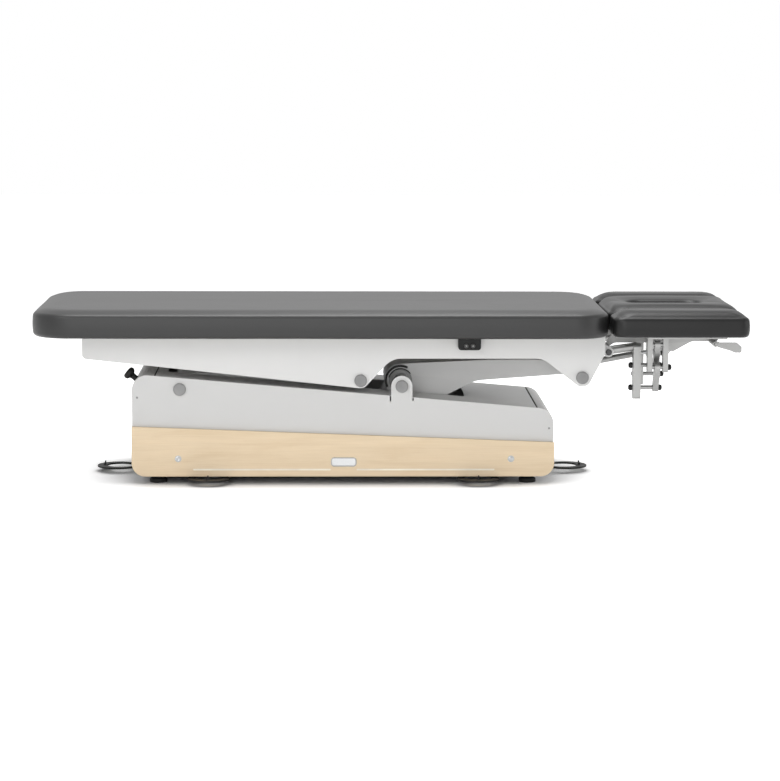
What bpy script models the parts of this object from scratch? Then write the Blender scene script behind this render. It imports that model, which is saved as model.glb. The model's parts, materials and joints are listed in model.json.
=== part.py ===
"""Electric massage table: lift base, parallelogram arms, padded top and tilting head section.

Metres, +Z up, +X towards the head end, -Y is the front. The origin is on the floor, under the
middle of the pads.
"""
import math

import bmesh
import bpy
from mathutils import Matrix, Vector

# Clearances
GAP = 0.0003
RUN = 0.0006
ARC_STEP = 18.0

# Padded top
TOP_WIDTH = 0.660
HEAD_PAD_LENGTH = 0.385
PAD_PAST_PIVOT = 0.06601
PAD_SPLIT = 0.007
MAIN_PAD_THICK = 0.0785
MAIN_PAD_CROWN = 0.003
MAIN_PAD_CORNER = 0.100
MAIN_SEAM_DROP = 0.016
HEAD_PAD_THICK = 0.070
HEAD_PAD_CROWN = 0.004
HEAD_PAD_CORNER = 0.040
HEAD_SEAM_DROP = 0.018
HEAD_PAD_LIFT = 0.0043
HEAD_PAD_WIDTH = 0.356
ARM_PAD_SPLIT = 0.005
PAD_BOARD = 0.012
PAD_BOARD_INSET = 0.036
SEAM_DRAW = 0.0025
FACE_SLOT_SHARE = 0.5325
FACE_SLOT_WIDTH = 0.086
FACE_SLOT_START_SHARE = 0.2078

# Top frame
FRAME_RISE = 0.12693
FRAME_START = 0.131
FRAME_END_INSET = 0.002
FRAME_FOOT_DEPTH = 0.065
FRAME_ARCH_DEPTH = 0.0644
FRAME_PANEL = 0.006
FRAME_CORNER = 0.014
ARCH_BEND = 0.060
LOBE_C = 0.022
LOBE_D = 0.026
LOBE_C_RISE = 47.0
LOBE_D_FALL = -38.0
LOBE_D_RISE = 63.0
CROSS_TUBE = 0.030
CROSS_WALL = 0.003
CROSS_FOOT_INSET = 0.030
CROSS_MID_INSET = 0.700

# Base shell
GROUND_CLEARANCE = 0.0226
BASE_START = 0.270
BASE_LENGTH = 1.192
BASE_WIDTH = 0.470
BASE_HEIGHT_FOOT = 0.2900
BASE_HEIGHT_HEAD = 0.1905
SIDE_PLATE = 0.006
CORNER_FOOT = 0.042
CORNER_HEAD = 0.045
CORNER_BOTTOM = 0.038
COVER_SHEET = 0.003
END_CAP_FOOT = 0.063
END_CAP_HEAD = 0.045
TRAY_SHEET = 0.004
WOOD = 0.012
WOOD_OVERHANG = 0.003
WOOD_HEIGHT_FOOT = 0.1415
WOOD_HEIGHT_HEAD = 0.0974
BOLT_HEAD_R = 0.0072
BOLT_HEAD = 0.004
BOLT_SHANK_R = 0.003
BOLT_FOOT_INSET = 0.130
BOLT_HEAD_INSET = 0.121
BOLT_HEIGHT = 0.0505
BADGE_LENGTH = 0.072
BADGE_HEIGHT = 0.026
BADGE_SHEET = 0.0016
BADGE_START = 0.5615
BADGE_LIFT = 0.0285

# Lift linkage
PIVOT_A_INSET = 0.1345
PIVOT_A_DROP = 0.03187
PIVOT_SPACING = 0.627
PIVOT_B_RISE = 0.02896
ARM_LENGTH = 0.5111
ARM_REST = 2.8
LIFT_SWING = 65.0
LUG_R = 0.030
AXLE_R = 0.012
AXLE_CAP_R = 0.0178
AXLE_CAP = 0.008
CAP_CHAMFER = 0.0025
TORSION_R = 0.020
ARM_HALF_WIDTH = 0.100
ARM_SHEET = 0.005
ARM_SLOT_PLAY = 0.012
FOOT_ARM_R = 0.028
HEAD_HUB_R = 0.046
HEAD_TIP_R = 0.023
HEAD_ARM_BEND = 0.250
HEAD_ARM_TOP = 0.060
HEAD_ARM_THROAT = 0.215
HEAD_ARM_HEEL = 0.125
SLOT_END = 0.184

# Actuator
LEVER_R = 0.120
LEVER_PLATE = 0.008
LEVER_SPREAD = 0.014
LEVER_END_R = 0.030
ROD_R = 0.011
ROLLER_R = 0.008
ROD_LENGTH = 0.290
BARREL_R = 0.026
BARREL_LENGTH = 0.250
BARREL_NOSE = 0.045
MOTOR_LENGTH = 0.100
MOTOR_HALF = 0.045
SADDLE = 0.020
CONTROL_LENGTH = 0.150
CONTROL_WIDTH = 0.200
CONTROL_HEIGHT = 0.060
CONTROL_INSET = 0.070

# Feet, pedals, knob and inlet
FOOT_R = 0.0245
FOOT_DISC = 0.013
FOOT_STUD_R = 0.005
FOOT_NUT_R = 0.010
FOOT_STUD_TOP = 0.020
FOOT_INSET_X = 0.0712
FOOT_INSET_Y = 0.036
PEDAL_R = 0.060
PEDAL_HOLE_R = 0.041
PEDAL_OFFSET = 0.009
PEDAL_PLATE = 0.005
PEDAL_HEIGHT = 0.0155
PEDAL_REACH = 0.105
PEDAL_TONGUE = 0.030
PEDAL_SHAFT_R = 0.004
PEDAL_SHAFT = 0.066
PEDAL_FIN_HEIGHT = 0.013
PEDAL_FIN_LENGTH = 0.009
PEDAL_FIN = 0.004
PEDAL_END_OUT = 0.0577
PEDAL_SIDE_OUT = -0.005
PEDAL_FOOT_INSET = 0.215
PEDAL_HEAD_INSET = 0.214
PEDAL_LUG = 0.004
PEDAL_LUG_R = 0.007
KNOB_R = 0.018
KNOB_HEAD = 0.018
KNOB_STEM_R = 0.0085
KNOB_STEM = 0.016
KNOB_SHANK = 0.014
KNOB_TILT = 40.0
KNOB_INSET = 0.040
INLET_WIDTH = 0.030
INLET_HEIGHT = 0.024
INLET_DEPTH = 0.022
INLET_FLANGE = 0.006
INLET_RISE = 0.090
INLET_SIDE = 0.120
INLET_WALL = 0.003

# Switch box
SWITCH_START = 1.189
SWITCH_LENGTH = 0.0636
SWITCH_HEIGHT = 0.034
SWITCH_DEPTH = 0.030
SWITCH_DROP = 0.003
SWITCH_ROUND = 0.008
BUTTON_R = 0.006
BUTTON_PROUD = 0.0025
BUTTON_STEM = 0.008
BUTTON_PITCH = 0.019
BUTTON_DROP = 0.022

# Head section
HINGE_OUT = 0.004
HINGE_DROP = 0.0494
HINGE_PIN_R = 0.006
HINGE_HUB_R = 0.013
HINGE_HUB_HALF = 0.196
EAR = 0.008
EAR_R = 0.014
PIN_HEAD = 0.004
CROSS_HEAD_BACK = 0.059
RAIL_Y = 0.100
RAIL_PLATE = 0.006
RAIL_DEPTH = 0.037
RAIL_END = 0.055
GUSSET_SHARE = 0.470
GUSSET_DEPTH = 0.062
GUSSET_HALF = 0.016
GUSSET_RAMP = 0.052
SEAT_PLATE = 0.0055
SEAT_START = 0.022
SEAT_END = 0.035
SEAT_HALF = 0.165
GAS_Y = 0.078
GAS_FOOT_X = 0.034
GAS_FOOT_DROP = 0.042
GAS_TOP_DROP = 0.002
GAS_PIN_R = 0.005
GAS_TUBE_R = 0.0088
GAS_ROD_R = 0.004
GAS_TUBE_SHARE = 0.572
GAS_ROD_SHARE = 0.229
GAS_EYE = 0.018
GAS_EYE_WALL = 0.006
GAS_CLEVIS = 0.006
TILT_SWING = 35.0
LEVER_SHARE = 0.795
LEVER_DROP = 0.0315
LEVER_PIN_R = 0.004
LEVER_HUB_R = 0.008
LEVER_WIDTH = 0.090
LEVER_SHEET = 0.005
LEVER_BACK = 0.001
LEVER_FALL = 0.026
LEVER_CURL = 0.008

# Arm pad linkage
POST_X = 0.074
POST_WIDTH = 0.0215
POST_DEPTH = 0.036
POST_Y = 0.160
POST_TOP = 0.020
POST_BOTTOM = 0.138
CARRIER_R = 0.012
LINK_GAP = 0.014
HANGER_BAR = 0.0145
LINK_BAR = 0.016
LINK_SPACE = 0.007
LINK_DEPTH = 0.024
LINK_OUT = 0.040
LINK_UP = 0.063
LINK_PITCH = 0.064
LINK_LOWER_DROP = 0.106
LINK_PIN_R = 0.006
PIN_OUTSIDE = 0.011
PIN_LINK_OUT = 0.004
PIN_HANGER_OUT = 0.0045
REAR_SET_SHIFT = 0.045
HANGER_DEPTH = 0.026
HANGER_PLATE = 0.0055
HANGER_PLATE_SHARE = 0.597
HANGER_PLATE_WIDTH = 0.105
HANGER_PLATE_INSET = 0.009
HANGER_TAIL = 0.014

# Finishes: colour, roughness, metallic
GREY_PAINT = ((0.68, 0.68, 0.67), 0.38, 0.0)
DARK_STEEL = ((0.10, 0.10, 0.11), 0.45, 0.6)
BARE_ALUMINIUM = ((0.60, 0.60, 0.60), 0.32, 0.9)
CAP_GREY = ((0.30, 0.30, 0.30), 0.40, 0.3)
LEATHERETTE = ((0.10, 0.10, 0.10), 0.48, 0.0)
HEAD_LEATHERETTE = ((0.07, 0.07, 0.07), 0.48, 0.0)
MAPLE = ((0.77, 0.61, 0.42), 0.45, 0.0)
PLYWOOD = ((0.55, 0.40, 0.25), 0.70, 0.0)
BLACK_PLASTIC = ((0.015, 0.015, 0.015), 0.45, 0.0)
BLACK_RUBBER = ((0.02, 0.02, 0.02), 0.80, 0.0)
BRIGHT_STEEL = ((0.62, 0.62, 0.62), 0.25, 1.0)

# Derived places
REST = math.radians(ARM_REST)
ARM = Vector((ARM_LENGTH * math.cos(REST), 0, ARM_LENGTH * math.sin(REST)))
MAIN_PAD_LENGTH = BASE_START + PIVOT_A_INSET + PIVOT_SPACING + ARM.x + PAD_PAST_PIVOT
TABLE_LENGTH = MAIN_PAD_LENGTH + PAD_SPLIT + HEAD_PAD_LENGTH
FACE_SLOT_LENGTH = FACE_SLOT_SHARE * HEAD_PAD_LENGTH
FACE_SLOT_START = FACE_SLOT_START_SHARE * HEAD_PAD_LENGTH
GUSSET_X = GUSSET_SHARE * HEAD_PAD_LENGTH
LEVER_X = LEVER_SHARE * HEAD_PAD_LENGTH
LEVER_REACH = HEAD_PAD_LENGTH - HINGE_OUT - LEVER_X - LEVER_BACK
HANGER_PLATE_LENGTH = HANGER_PLATE_SHARE * HEAD_PAD_LENGTH
PAD_X0 = -TABLE_LENGTH / 2
PAD_X1 = PAD_X0 + MAIN_PAD_LENGTH
HEAD_X0 = PAD_X1 + PAD_SPLIT
HEAD_X1 = TABLE_LENGTH / 2
HALF_TOP = TOP_WIDTH / 2
BASE_X0 = PAD_X0 + BASE_START
BASE_X1 = BASE_X0 + BASE_LENGTH
BASE_Z = GROUND_CLEARANCE
HALF_BASE = BASE_WIDTH / 2
INNER_HALF = HALF_BASE - SIDE_PLATE - GAP
BASE_SLOPE = (BASE_HEIGHT_HEAD - BASE_HEIGHT_FOOT) / BASE_LENGTH
WOOD_SLOPE = (WOOD_HEIGHT_HEAD - WOOD_HEIGHT_FOOT) / BASE_LENGTH
WOOD_FACE = HALF_BASE + GAP + WOOD
TRAY_TOP = BASE_Z + TRAY_SHEET


def base_top(x, inset=0.0):
    """Height of the base's sloping top at x, or of a line inset below it."""
    slant = math.sqrt(1 + BASE_SLOPE**2)
    return BASE_Z + BASE_HEIGHT_FOOT + BASE_SLOPE * (x - BASE_X0) - inset * slant


A_X = BASE_X0 + PIVOT_A_INSET
B_X = A_X + PIVOT_SPACING
A = Vector((A_X, 0, base_top(A_X) - PIVOT_A_DROP))
B = Vector((B_X, 0, base_top(B_X) + PIVOT_B_RISE))
C = A + ARM
D = B + ARM
FRAME_TOP = C.z + FRAME_RISE
FRAME_X0 = PAD_X0 + FRAME_START
FRAME_X1 = PAD_X1 - FRAME_END_INSET
ARCH_Z = FRAME_TOP - FRAME_ARCH_DEPTH
PAD_Z = FRAME_TOP + GAP
HEAD_Z = FRAME_TOP + HEAD_PAD_LIFT
HINGE = Vector((HEAD_X0 + HINGE_OUT, 0, FRAME_TOP - HINGE_DROP))
CROSS_HEAD_X = HINGE.x - CROSS_HEAD_BACK
GAS_FOOT = HINGE + Vector((-GAS_FOOT_X, -GAS_Y, -GAS_FOOT_DROP))
GAS_TOP = HINGE + Vector((GUSSET_X, -GAS_Y, -GAS_TOP_DROP))


def reset_scene():
    for ob in list(bpy.data.objects):
        bpy.data.objects.remove(ob, do_unlink=True)


reset_scene()
PARTS = bpy.data.collections.new("electric_massage_table")
TOOLS = bpy.data.collections.new("cutters")
bpy.context.scene.collection.children.link(PARTS)
bpy.context.scene.collection.children.link(TOOLS)


def finish(ob, look):
    colour, roughness, metallic = look
    mat = bpy.data.materials.new(ob.name)
    mat.use_nodes = True
    shader = mat.node_tree.nodes["Principled BSDF"]
    shader.inputs["Base Color"].default_value = (*colour, 1.0)
    shader.inputs["Roughness"].default_value = roughness
    shader.inputs["Metallic"].default_value = metallic
    ob.data.materials.append(mat)
    return ob


def place(name, mesh, where, look=None):
    ob = bpy.data.objects.new(name, mesh)
    ob.location = where
    if look is None:
        TOOLS.objects.link(ob)
        ob.hide_render = True
        ob.display_type = "WIRE"
        return ob
    PARTS.objects.link(ob)
    mesh.shade_smooth()
    mesh.set_sharp_from_angle(angle=math.radians(35))
    return finish(ob, look)


def mesh_from(bm, name):
    bmesh.ops.recalc_face_normals(bm, faces=bm.faces)
    mesh = bpy.data.meshes.new(name)
    bm.to_mesh(mesh)
    bm.free()
    return mesh


def box(name, low, high, look=None, soften=0.0):
    low, high = Vector(low), Vector(high)
    bm = bmesh.new()
    bmesh.ops.create_cube(bm, size=1.0)
    bmesh.ops.scale(bm, vec=high - low, verts=bm.verts)
    ob = place(name, mesh_from(bm, name), (low + high) / 2, look)
    if soften:
        bevel = ob.modifiers.new("soften", "BEVEL")
        bevel.width = soften
        bevel.segments = 2
    return ob


def rod(name, start, end, radius, look=None, sides=20):
    start, end = Vector(start), Vector(end)
    bm = bmesh.new()
    bmesh.ops.create_cone(
        bm, cap_ends=True, segments=sides, radius1=radius, radius2=radius, depth=(end - start).length
    )
    ob = place(name, mesh_from(bm, name), (start + end) / 2, look)
    ob.rotation_euler = (end - start).to_track_quat("Z", "Y").to_euler()
    return ob


def turned(name, profile, where, direction, look, steps=20):
    bm = bmesh.new()
    verts = [bm.verts.new((r, 0, z)) for r, z in profile]
    for a, b in zip(verts, verts[1:]):
        bm.edges.new((a, b))
    mesh = bpy.data.meshes.new(name)
    bm.to_mesh(mesh)
    bm.free()
    ob = place(name, mesh, where, look)
    ob.rotation_euler = Vector(direction).to_track_quat("Z", "Y").to_euler()
    screw = ob.modifiers.new("turn", "SCREW")
    screw.steps = steps
    screw.render_steps = steps
    screw.use_merge_vertices = True
    screw.merge_threshold = 0.00001
    return ob


def arc(centre, radius, start, end):
    count = max(2, math.ceil(abs(end - start) / ARC_STEP))
    turns = [math.radians(start + (end - start) * i / count) for i in range(count + 1)]
    return [(centre[0] + radius * math.cos(t), centre[1] + radius * math.sin(t)) for t in turns]


def circle(centre, radius, sides=20):
    turns = [2 * math.pi * i / sides for i in range(sides)]
    return [(centre[0] + radius * math.cos(t), centre[1] + radius * math.sin(t)) for t in turns]


def rounded(corners):
    """Outline through corners (u, v, radius), with each corner filleted."""
    outline = []
    count = len(corners)
    for i in range(count):
        here = Vector(corners[i][:2])
        back = (Vector(corners[i - 1][:2]) - here).normalized()
        ahead = (Vector(corners[(i + 1) % count][:2]) - here).normalized()
        radius = corners[i][2]
        half = back.angle(ahead) / 2
        if radius <= 0 or half > math.radians(89.5):
            outline.append(tuple(here))
            continue
        centre = here + (back + ahead).normalized() * (radius / math.sin(half))
        reach = radius / math.tan(half)
        first = here + back * reach - centre
        turn = math.pi - 2 * half
        sign = 1 if back.cross(ahead) < 0 else -1
        steps = max(2, math.ceil(math.degrees(turn) / ARC_STEP))
        for k in range(steps + 1):
            spin = Matrix.Rotation(sign * turn * k / steps, 2)
            outline.append(tuple(centre + spin @ first))
    return outline


def hull_pair(p, rp, q, rq):
    """Outline of two circles and their outer tangents."""
    along = math.degrees(math.atan2(q[1] - p[1], q[0] - p[0]))
    lean = math.degrees(math.acos((rp - rq) / math.dist(p, q)))
    return arc(p, rp, along + lean, along + 360 - lean) + arc(q, rq, along - lean, along + lean)


def flat_mesh(name, outlines, thick):
    curve = bpy.data.curves.new(name, "CURVE")
    curve.dimensions = "2D"
    curve.fill_mode = "BOTH"
    curve.extrude = thick / 2
    for outline in outlines:
        spline = curve.splines.new("POLY")
        spline.points.add(len(outline) - 1)
        for point, (u, v) in zip(spline.points, outline):
            point.co = (u, v, 0, 1)
        spline.use_cyclic_u = True
    guide = bpy.data.objects.new(name + "_outline", curve)
    TOOLS.objects.link(guide)
    bpy.context.view_layer.update()
    depsgraph = bpy.context.evaluated_depsgraph_get()
    mesh = bpy.data.meshes.new_from_object(guide.evaluated_get(depsgraph))
    bpy.data.objects.remove(guide, do_unlink=True)
    bm = bmesh.new()
    bm.from_mesh(mesh)
    bmesh.ops.remove_doubles(bm, verts=bm.verts, dist=0.000001)
    bpy.data.meshes.remove(mesh)
    return bm


def upright(name, outlines, y0, y1, look=None, origin=(0, 0)):
    """Plate standing in the XZ plane between y0 and y1; its object sits at the origin given."""
    moved = [[(u - origin[0], v - origin[1]) for u, v in line] for line in outlines]
    bm = flat_mesh(name, moved, abs(y1 - y0))
    bmesh.ops.rotate(bm, verts=bm.verts, matrix=Matrix.Rotation(math.pi / 2, 3, "X"))
    return place(name, mesh_from(bm, name), (origin[0], (y0 + y1) / 2, origin[1]), look)


def lying(name, outlines, z0, z1, look=None):
    """Plate lying in the XY plane between z0 and z1."""
    bm = flat_mesh(name, outlines, z1 - z0)
    return place(name, mesh_from(bm, name), (0, 0, (z0 + z1) / 2), look)


def endwise(name, outlines, x0, x1, look=None):
    """Plate standing in the YZ plane between x0 and x1."""
    bm = flat_mesh(name, outlines, x1 - x0)
    frame = Matrix(((0, 0, 1), (1, 0, 0), (0, 1, 0)))
    bmesh.ops.rotate(bm, verts=bm.verts, matrix=frame)
    return place(name, mesh_from(bm, name), ((x0 + x1) / 2, 0, 0), look)


def boolean(ob, tool, operation):
    modifier = ob.modifiers.new(tool.name, "BOOLEAN")
    modifier.operation = operation
    modifier.object = tool
    modifier.solver = "EXACT"
    return ob


def cut(ob, *tools):
    for tool in tools:
        boolean(ob, tool, "DIFFERENCE")
    return ob


def weld(ob, *tools):
    for tool in tools:
        boolean(ob, tool, "UNION")
    return ob


def axis_empty(name, where, parent=None):
    empty = bpy.data.objects.new(name, None)
    empty.empty_display_size = 0.05
    PARTS.objects.link(empty)
    empty.location = where
    bpy.context.view_layer.update()
    if parent:
        carry(parent, empty)
    return empty


def carry(parent, *children):
    bpy.context.view_layer.update()
    for child in children:
        child.parent = parent
        child.matrix_parent_inverse = parent.matrix_world.inverted()


def ring_outline(x0, x1, y0, y1, radius):
    return rounded([(x0, y0, radius), (x1, y0, radius), (x1, y1, radius), (x0, y1, radius)])


def loft(name, rings, look):
    """Closed body through rings of points, one above the other."""
    bm = bmesh.new()
    loops = [[bm.verts.new(p) for p in ring] for ring in rings]
    count = len(loops[0])
    for low, high in zip(loops, loops[1:]):
        for i in range(count):
            k = (i + 1) % count
            bm.faces.new((low[i], low[k], high[k], high[i]))
    bm.faces.new(loops[0][::-1])
    bm.faces.new(loops[-1])
    bmesh.ops.triangulate(bm, faces=[f for f in bm.faces if len(f.verts) > 4])
    return place(name, mesh_from(bm, name), (0, 0, 0), look)


def cushion(name, x0, x1, y0, y1, z0, thick, corner, crown, seam_drop, look, recess=0.0):
    """Upholstered pad: rolled bottom edge, drawn-in seam, rolled top edge and a crown."""
    top = z0 + thick
    seam = top - seam_drop
    roll = seam_drop
    half = min(x1 - x0, y1 - y0) / 2
    profile = []
    if recess:
        profile += [(PAD_BOARD_INSET - GAP, z0 + recess + GAP), (PAD_BOARD_INSET - GAP, z0)]
    profile += [(roll * 1.1, z0), (roll * 0.35, z0 + roll * 0.35), (0.0, z0 + roll * 1.2)]
    profile += [(0.0, (z0 + seam) / 2), (SEAM_DRAW * 0.3, seam - roll * 0.35), (SEAM_DRAW, seam)]
    for turn in (20, 45, 70, 90):
        lean = math.radians(turn)
        profile.append((SEAM_DRAW * 0.4 + roll * (1 - math.cos(lean)), seam + roll * math.sin(lean)))
    for share in (0.40, 0.70, 0.97):
        profile.append((roll + (half - roll) * share, top + crown * math.sin(share * math.pi / 2)))
    least = 0.1 * (half - (roll + (half - roll) * 0.97)) + 0.0005
    rings = []
    for inset, z in profile:
        line = ring_outline(x0 + inset, x1 - inset, y0 + inset, y1 - inset, max(corner - inset, least))
        rings.append([(x, y, z) for x, y in line])
    return loft(name, rings, look)


# Base side plates, with the upright lug that carries the head arm
def base_corners(inset=0.0):
    x0, x1 = BASE_X0 + inset, BASE_X1 - inset
    low = BASE_Z + inset
    bottom = CORNER_BOTTOM - inset
    return [
        (x0, low, bottom),
        (x0, base_top(x0, inset), CORNER_FOOT - inset),
        (x1, base_top(x1, inset), CORNER_HEAD - inset),
        (x1, low, bottom),
    ]


def side_plate_outline():
    bottom_foot, top_foot, top_head, bottom_head = base_corners()
    left, right = B.x - LUG_R, B.x + LUG_R
    lug = [(u, v, 0) for u, v in arc((B.x, B.z), LUG_R, 180, 0)]
    corners = [bottom_foot, top_foot, (left, base_top(left), 0)]
    return rounded(corners + lug + [(right, base_top(right), 0), top_head, bottom_head])


def axle_holes():
    return [circle((p.x, p.z), AXLE_R + GAP) for p in (A, B)]


def bolt_places():
    z = BASE_Z + BOLT_HEIGHT
    return [(BASE_X0 + BOLT_FOOT_INSET, z), (BASE_X1 - BOLT_HEAD_INSET, z)]


def wood_outline():
    x0, x1 = BASE_X0 - WOOD_OVERHANG, BASE_X1 + WOOD_OVERHANG
    z0 = BASE_Z + WOOD_HEIGHT_FOOT - WOOD_SLOPE * WOOD_OVERHANG
    z1 = BASE_Z + WOOD_HEIGHT_HEAD + WOOD_SLOPE * WOOD_OVERHANG
    low = [(x1, BASE_Z, CORNER_BOTTOM), (x0, BASE_Z, CORNER_BOTTOM)]
    return rounded([(x0, z0, 0.002), (x1, z1, 0.002)] + low)


bolt_holes = [circle(p, BOLT_SHANK_R + GAP, 12) for p in bolt_places()]
for side, label in ((-1, "front"), (1, "rear")):
    y0 = side * (HALF_BASE - SIDE_PLATE)
    y1 = side * HALF_BASE
    lines = [side_plate_outline()] + axle_holes() + bolt_holes
    upright("base_side_plate_" + label, lines, y0, y1, GREY_PAINT)
    y2 = side * (HALF_BASE + GAP)
    y3 = side * WOOD_FACE
    upright("wood_panel_" + label, [wood_outline()] + bolt_holes, y2, y3, MAPLE)
    for (u, v), end in zip(bolt_places(), ("foot", "head")):
        shank = WOOD + SIDE_PLATE + GAP
        head = [(0, BOLT_HEAD), (BOLT_HEAD_R * 0.75, BOLT_HEAD)]
        head += [(BOLT_HEAD_R, BOLT_HEAD * 0.4), (BOLT_HEAD_R, 0)]
        shaft = [(BOLT_SHANK_R, 0), (BOLT_SHANK_R, -shank), (0, -shank)]
        turned("panel_bolt_" + end + "_" + label, head + shaft, (u, side * (WOOD_FACE + GAP), v),
               (0, side, 0), BRIGHT_STEEL, 12)

badge_x = BASE_X0 + BADGE_START
badge_z = BASE_Z + BADGE_LIFT
badge = ring_outline(badge_x, badge_x + BADGE_LENGTH, badge_z, badge_z + BADGE_HEIGHT, BADGE_HEIGHT * 0.3)
upright("badge_plate", [badge], -(WOOD_FACE + GAP), -(WOOD_FACE + GAP + BADGE_SHEET), BRIGHT_STEEL)


# End caps and top cover, bent from sheet along the side plates' outline
def end_cap_outline(head):
    outer, inner = [], []
    for inset, line in ((0.0, outer), (COVER_SHEET, inner)):
        corners = base_corners(inset)
        seam = BASE_X1 - END_CAP_HEAD - GAP if head else BASE_X0 + END_CAP_FOOT
        stop = (seam, base_top(seam, inset), 0)
        if head:
            path = [stop, corners[2], corners[3], (BASE_X1 - CORNER_BOTTOM, BASE_Z + inset, 0)]
        else:
            path = [(BASE_X0 + CORNER_BOTTOM, BASE_Z + inset, 0), corners[0], corners[1], stop]
        far = [(path[-1][0], -1.0, 0), (path[0][0], -1.0, 0)]
        full = rounded(path + far)
        line.extend(p for p in full if p[1] > -0.5)
    return outer + inner[::-1]


KNOB_SIDE = -(INNER_HALF - KNOB_INSET)
corner_x = BASE_X0 + CORNER_FOOT
foot_corner_centre = Vector((corner_x, 0, base_top(corner_x) - CORNER_FOOT))
knob_axis = Vector((-math.cos(math.radians(KNOB_TILT)), 0, math.sin(math.radians(KNOB_TILT))))
knob_seat = foot_corner_centre + knob_axis * (CORNER_FOOT + GAP) + Vector((0, KNOB_SIDE, 0))
INLET_Y = INLET_SIDE
INLET_Z = BASE_Z + INLET_RISE

end_foot = upright("base_end_cap_foot", [end_cap_outline(False)], -INNER_HALF, INNER_HALF, GREY_PAINT)
knob_hole = rod("knob_hole", knob_seat + knob_axis * 0.02, knob_seat - knob_axis * 0.03, KNOB_STEM_R + RUN)
inlet_hole = box(
    "inlet_hole",
    (BASE_X0 - 0.01, INLET_Y - INLET_WIDTH / 2 - GAP, INLET_Z - INLET_HEIGHT / 2 - GAP),
    (BASE_X0 + 0.01, INLET_Y + INLET_WIDTH / 2 + GAP, INLET_Z + INLET_HEIGHT / 2 + GAP),
)
cut(end_foot, knob_hole, inlet_hole)
upright("base_end_cap_head", [end_cap_outline(True)], -INNER_HALF, INNER_HALF, GREY_PAINT)

cover_x0 = BASE_X0 + END_CAP_FOOT + GAP
cover_x1 = BASE_X1 - END_CAP_HEAD - 2 * GAP
cover_line = [
    (cover_x0, base_top(cover_x0)),
    (cover_x1, base_top(cover_x1)),
    (cover_x1, base_top(cover_x1, COVER_SHEET)),
    (cover_x0, base_top(cover_x0, COVER_SHEET)),
]
cover = upright("base_top_cover", [cover_line], -INNER_HALF, INNER_HALF, GREY_PAINT)
slot_half = ARM_HALF_WIDTH + ARM_SLOT_PLAY
slot_x0 = A.x - FOOT_ARM_R - ARM_SLOT_PLAY
slot_x1 = B.x + SLOT_END
arm_slot = lying(
    "arm_slot", [ring_outline(slot_x0, slot_x1, -slot_half, slot_half, ARM_SLOT_PLAY)], BASE_Z, FRAME_TOP
)
cut(cover, arm_slot)

# Base tray with the hangers of the pedals
tray_x0 = BASE_X0 + CORNER_BOTTOM + GAP
tray_x1 = BASE_X1 - CORNER_BOTTOM - GAP
foot_places = [
    (x, y)
    for x in (BASE_X0 + FOOT_INSET_X, BASE_X1 - FOOT_INSET_X)
    for y in (-(HALF_BASE - FOOT_INSET_Y), HALF_BASE - FOOT_INSET_Y)
]
stud_holes = [circle(p, FOOT_STUD_R + GAP, 12) for p in foot_places]
tray_line = [(tray_x0, -INNER_HALF), (tray_x1, -INNER_HALF), (tray_x1, INNER_HALF), (tray_x0, INNER_HALF)]
tray = lying("base_tray", [tray_line] + stud_holes, BASE_Z, TRAY_TOP, DARK_STEEL)

pedal_side_y = WOOD_FACE + PEDAL_SIDE_OUT
pedal_spots = {
    "foot_end": ((BASE_X0 - PEDAL_END_OUT, 0), (-1, 0)),
    "head_end": ((BASE_X1 + PEDAL_END_OUT, 0), (1, 0)),
    "front_foot": ((BASE_X0 + PEDAL_FOOT_INSET, -pedal_side_y), (0, -1)),
    "front_head": ((BASE_X1 - PEDAL_HEAD_INSET, -pedal_side_y), (0, -1)),
    "rear_foot": ((BASE_X0 + PEDAL_FOOT_INSET, pedal_side_y), (0, 1)),
    "rear_head": ((BASE_X1 - PEDAL_HEAD_INSET, pedal_side_y), (0, 1)),
}
for label, (spot, out) in pedal_spots.items():
    out = Vector((*out, 0))
    across = Vector((-out.y, out.x, 0))
    pivot = Vector((*spot, PEDAL_HEIGHT)) - out * PEDAL_REACH
    for hand in (-1, 1):
        face = pivot + across * hand * (PEDAL_SHAFT / 2 - PEDAL_LUG - RUN)
        back = face + across * hand * PEDAL_LUG
        i = 0 if abs(out.x) > 0.5 else 1
        left, right = pivot[i] - PEDAL_LUG_R, pivot[i] + PEDAL_LUG_R
        low, high = PEDAL_HEIGHT - PEDAL_LUG_R, BASE_Z + TRAY_SHEET / 2
        lines = [[(left, low), (right, low), (right, high), (left, high)]]
        lines.append(circle((pivot[i], PEDAL_HEIGHT), PEDAL_SHAFT_R + RUN, 12))
        first, last = sorted((face[1 - i], back[1 - i]))
        stand = upright if i == 0 else endwise
        weld(tray, stand("lug_" + label + str(hand), lines, first, last))


# Ring pedals, each turning on a short shaft under the tray
def pedal_outline():
    lean = math.degrees(math.asin(PEDAL_TONGUE / 2 / PEDAL_R))
    edge = arc((PEDAL_REACH, 0), PEDAL_R, -180 + lean, 180 - lean)
    return edge + [(-PEDAL_SHAFT_R, PEDAL_TONGUE / 2), (-PEDAL_SHAFT_R, -PEDAL_TONGUE / 2)]


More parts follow.
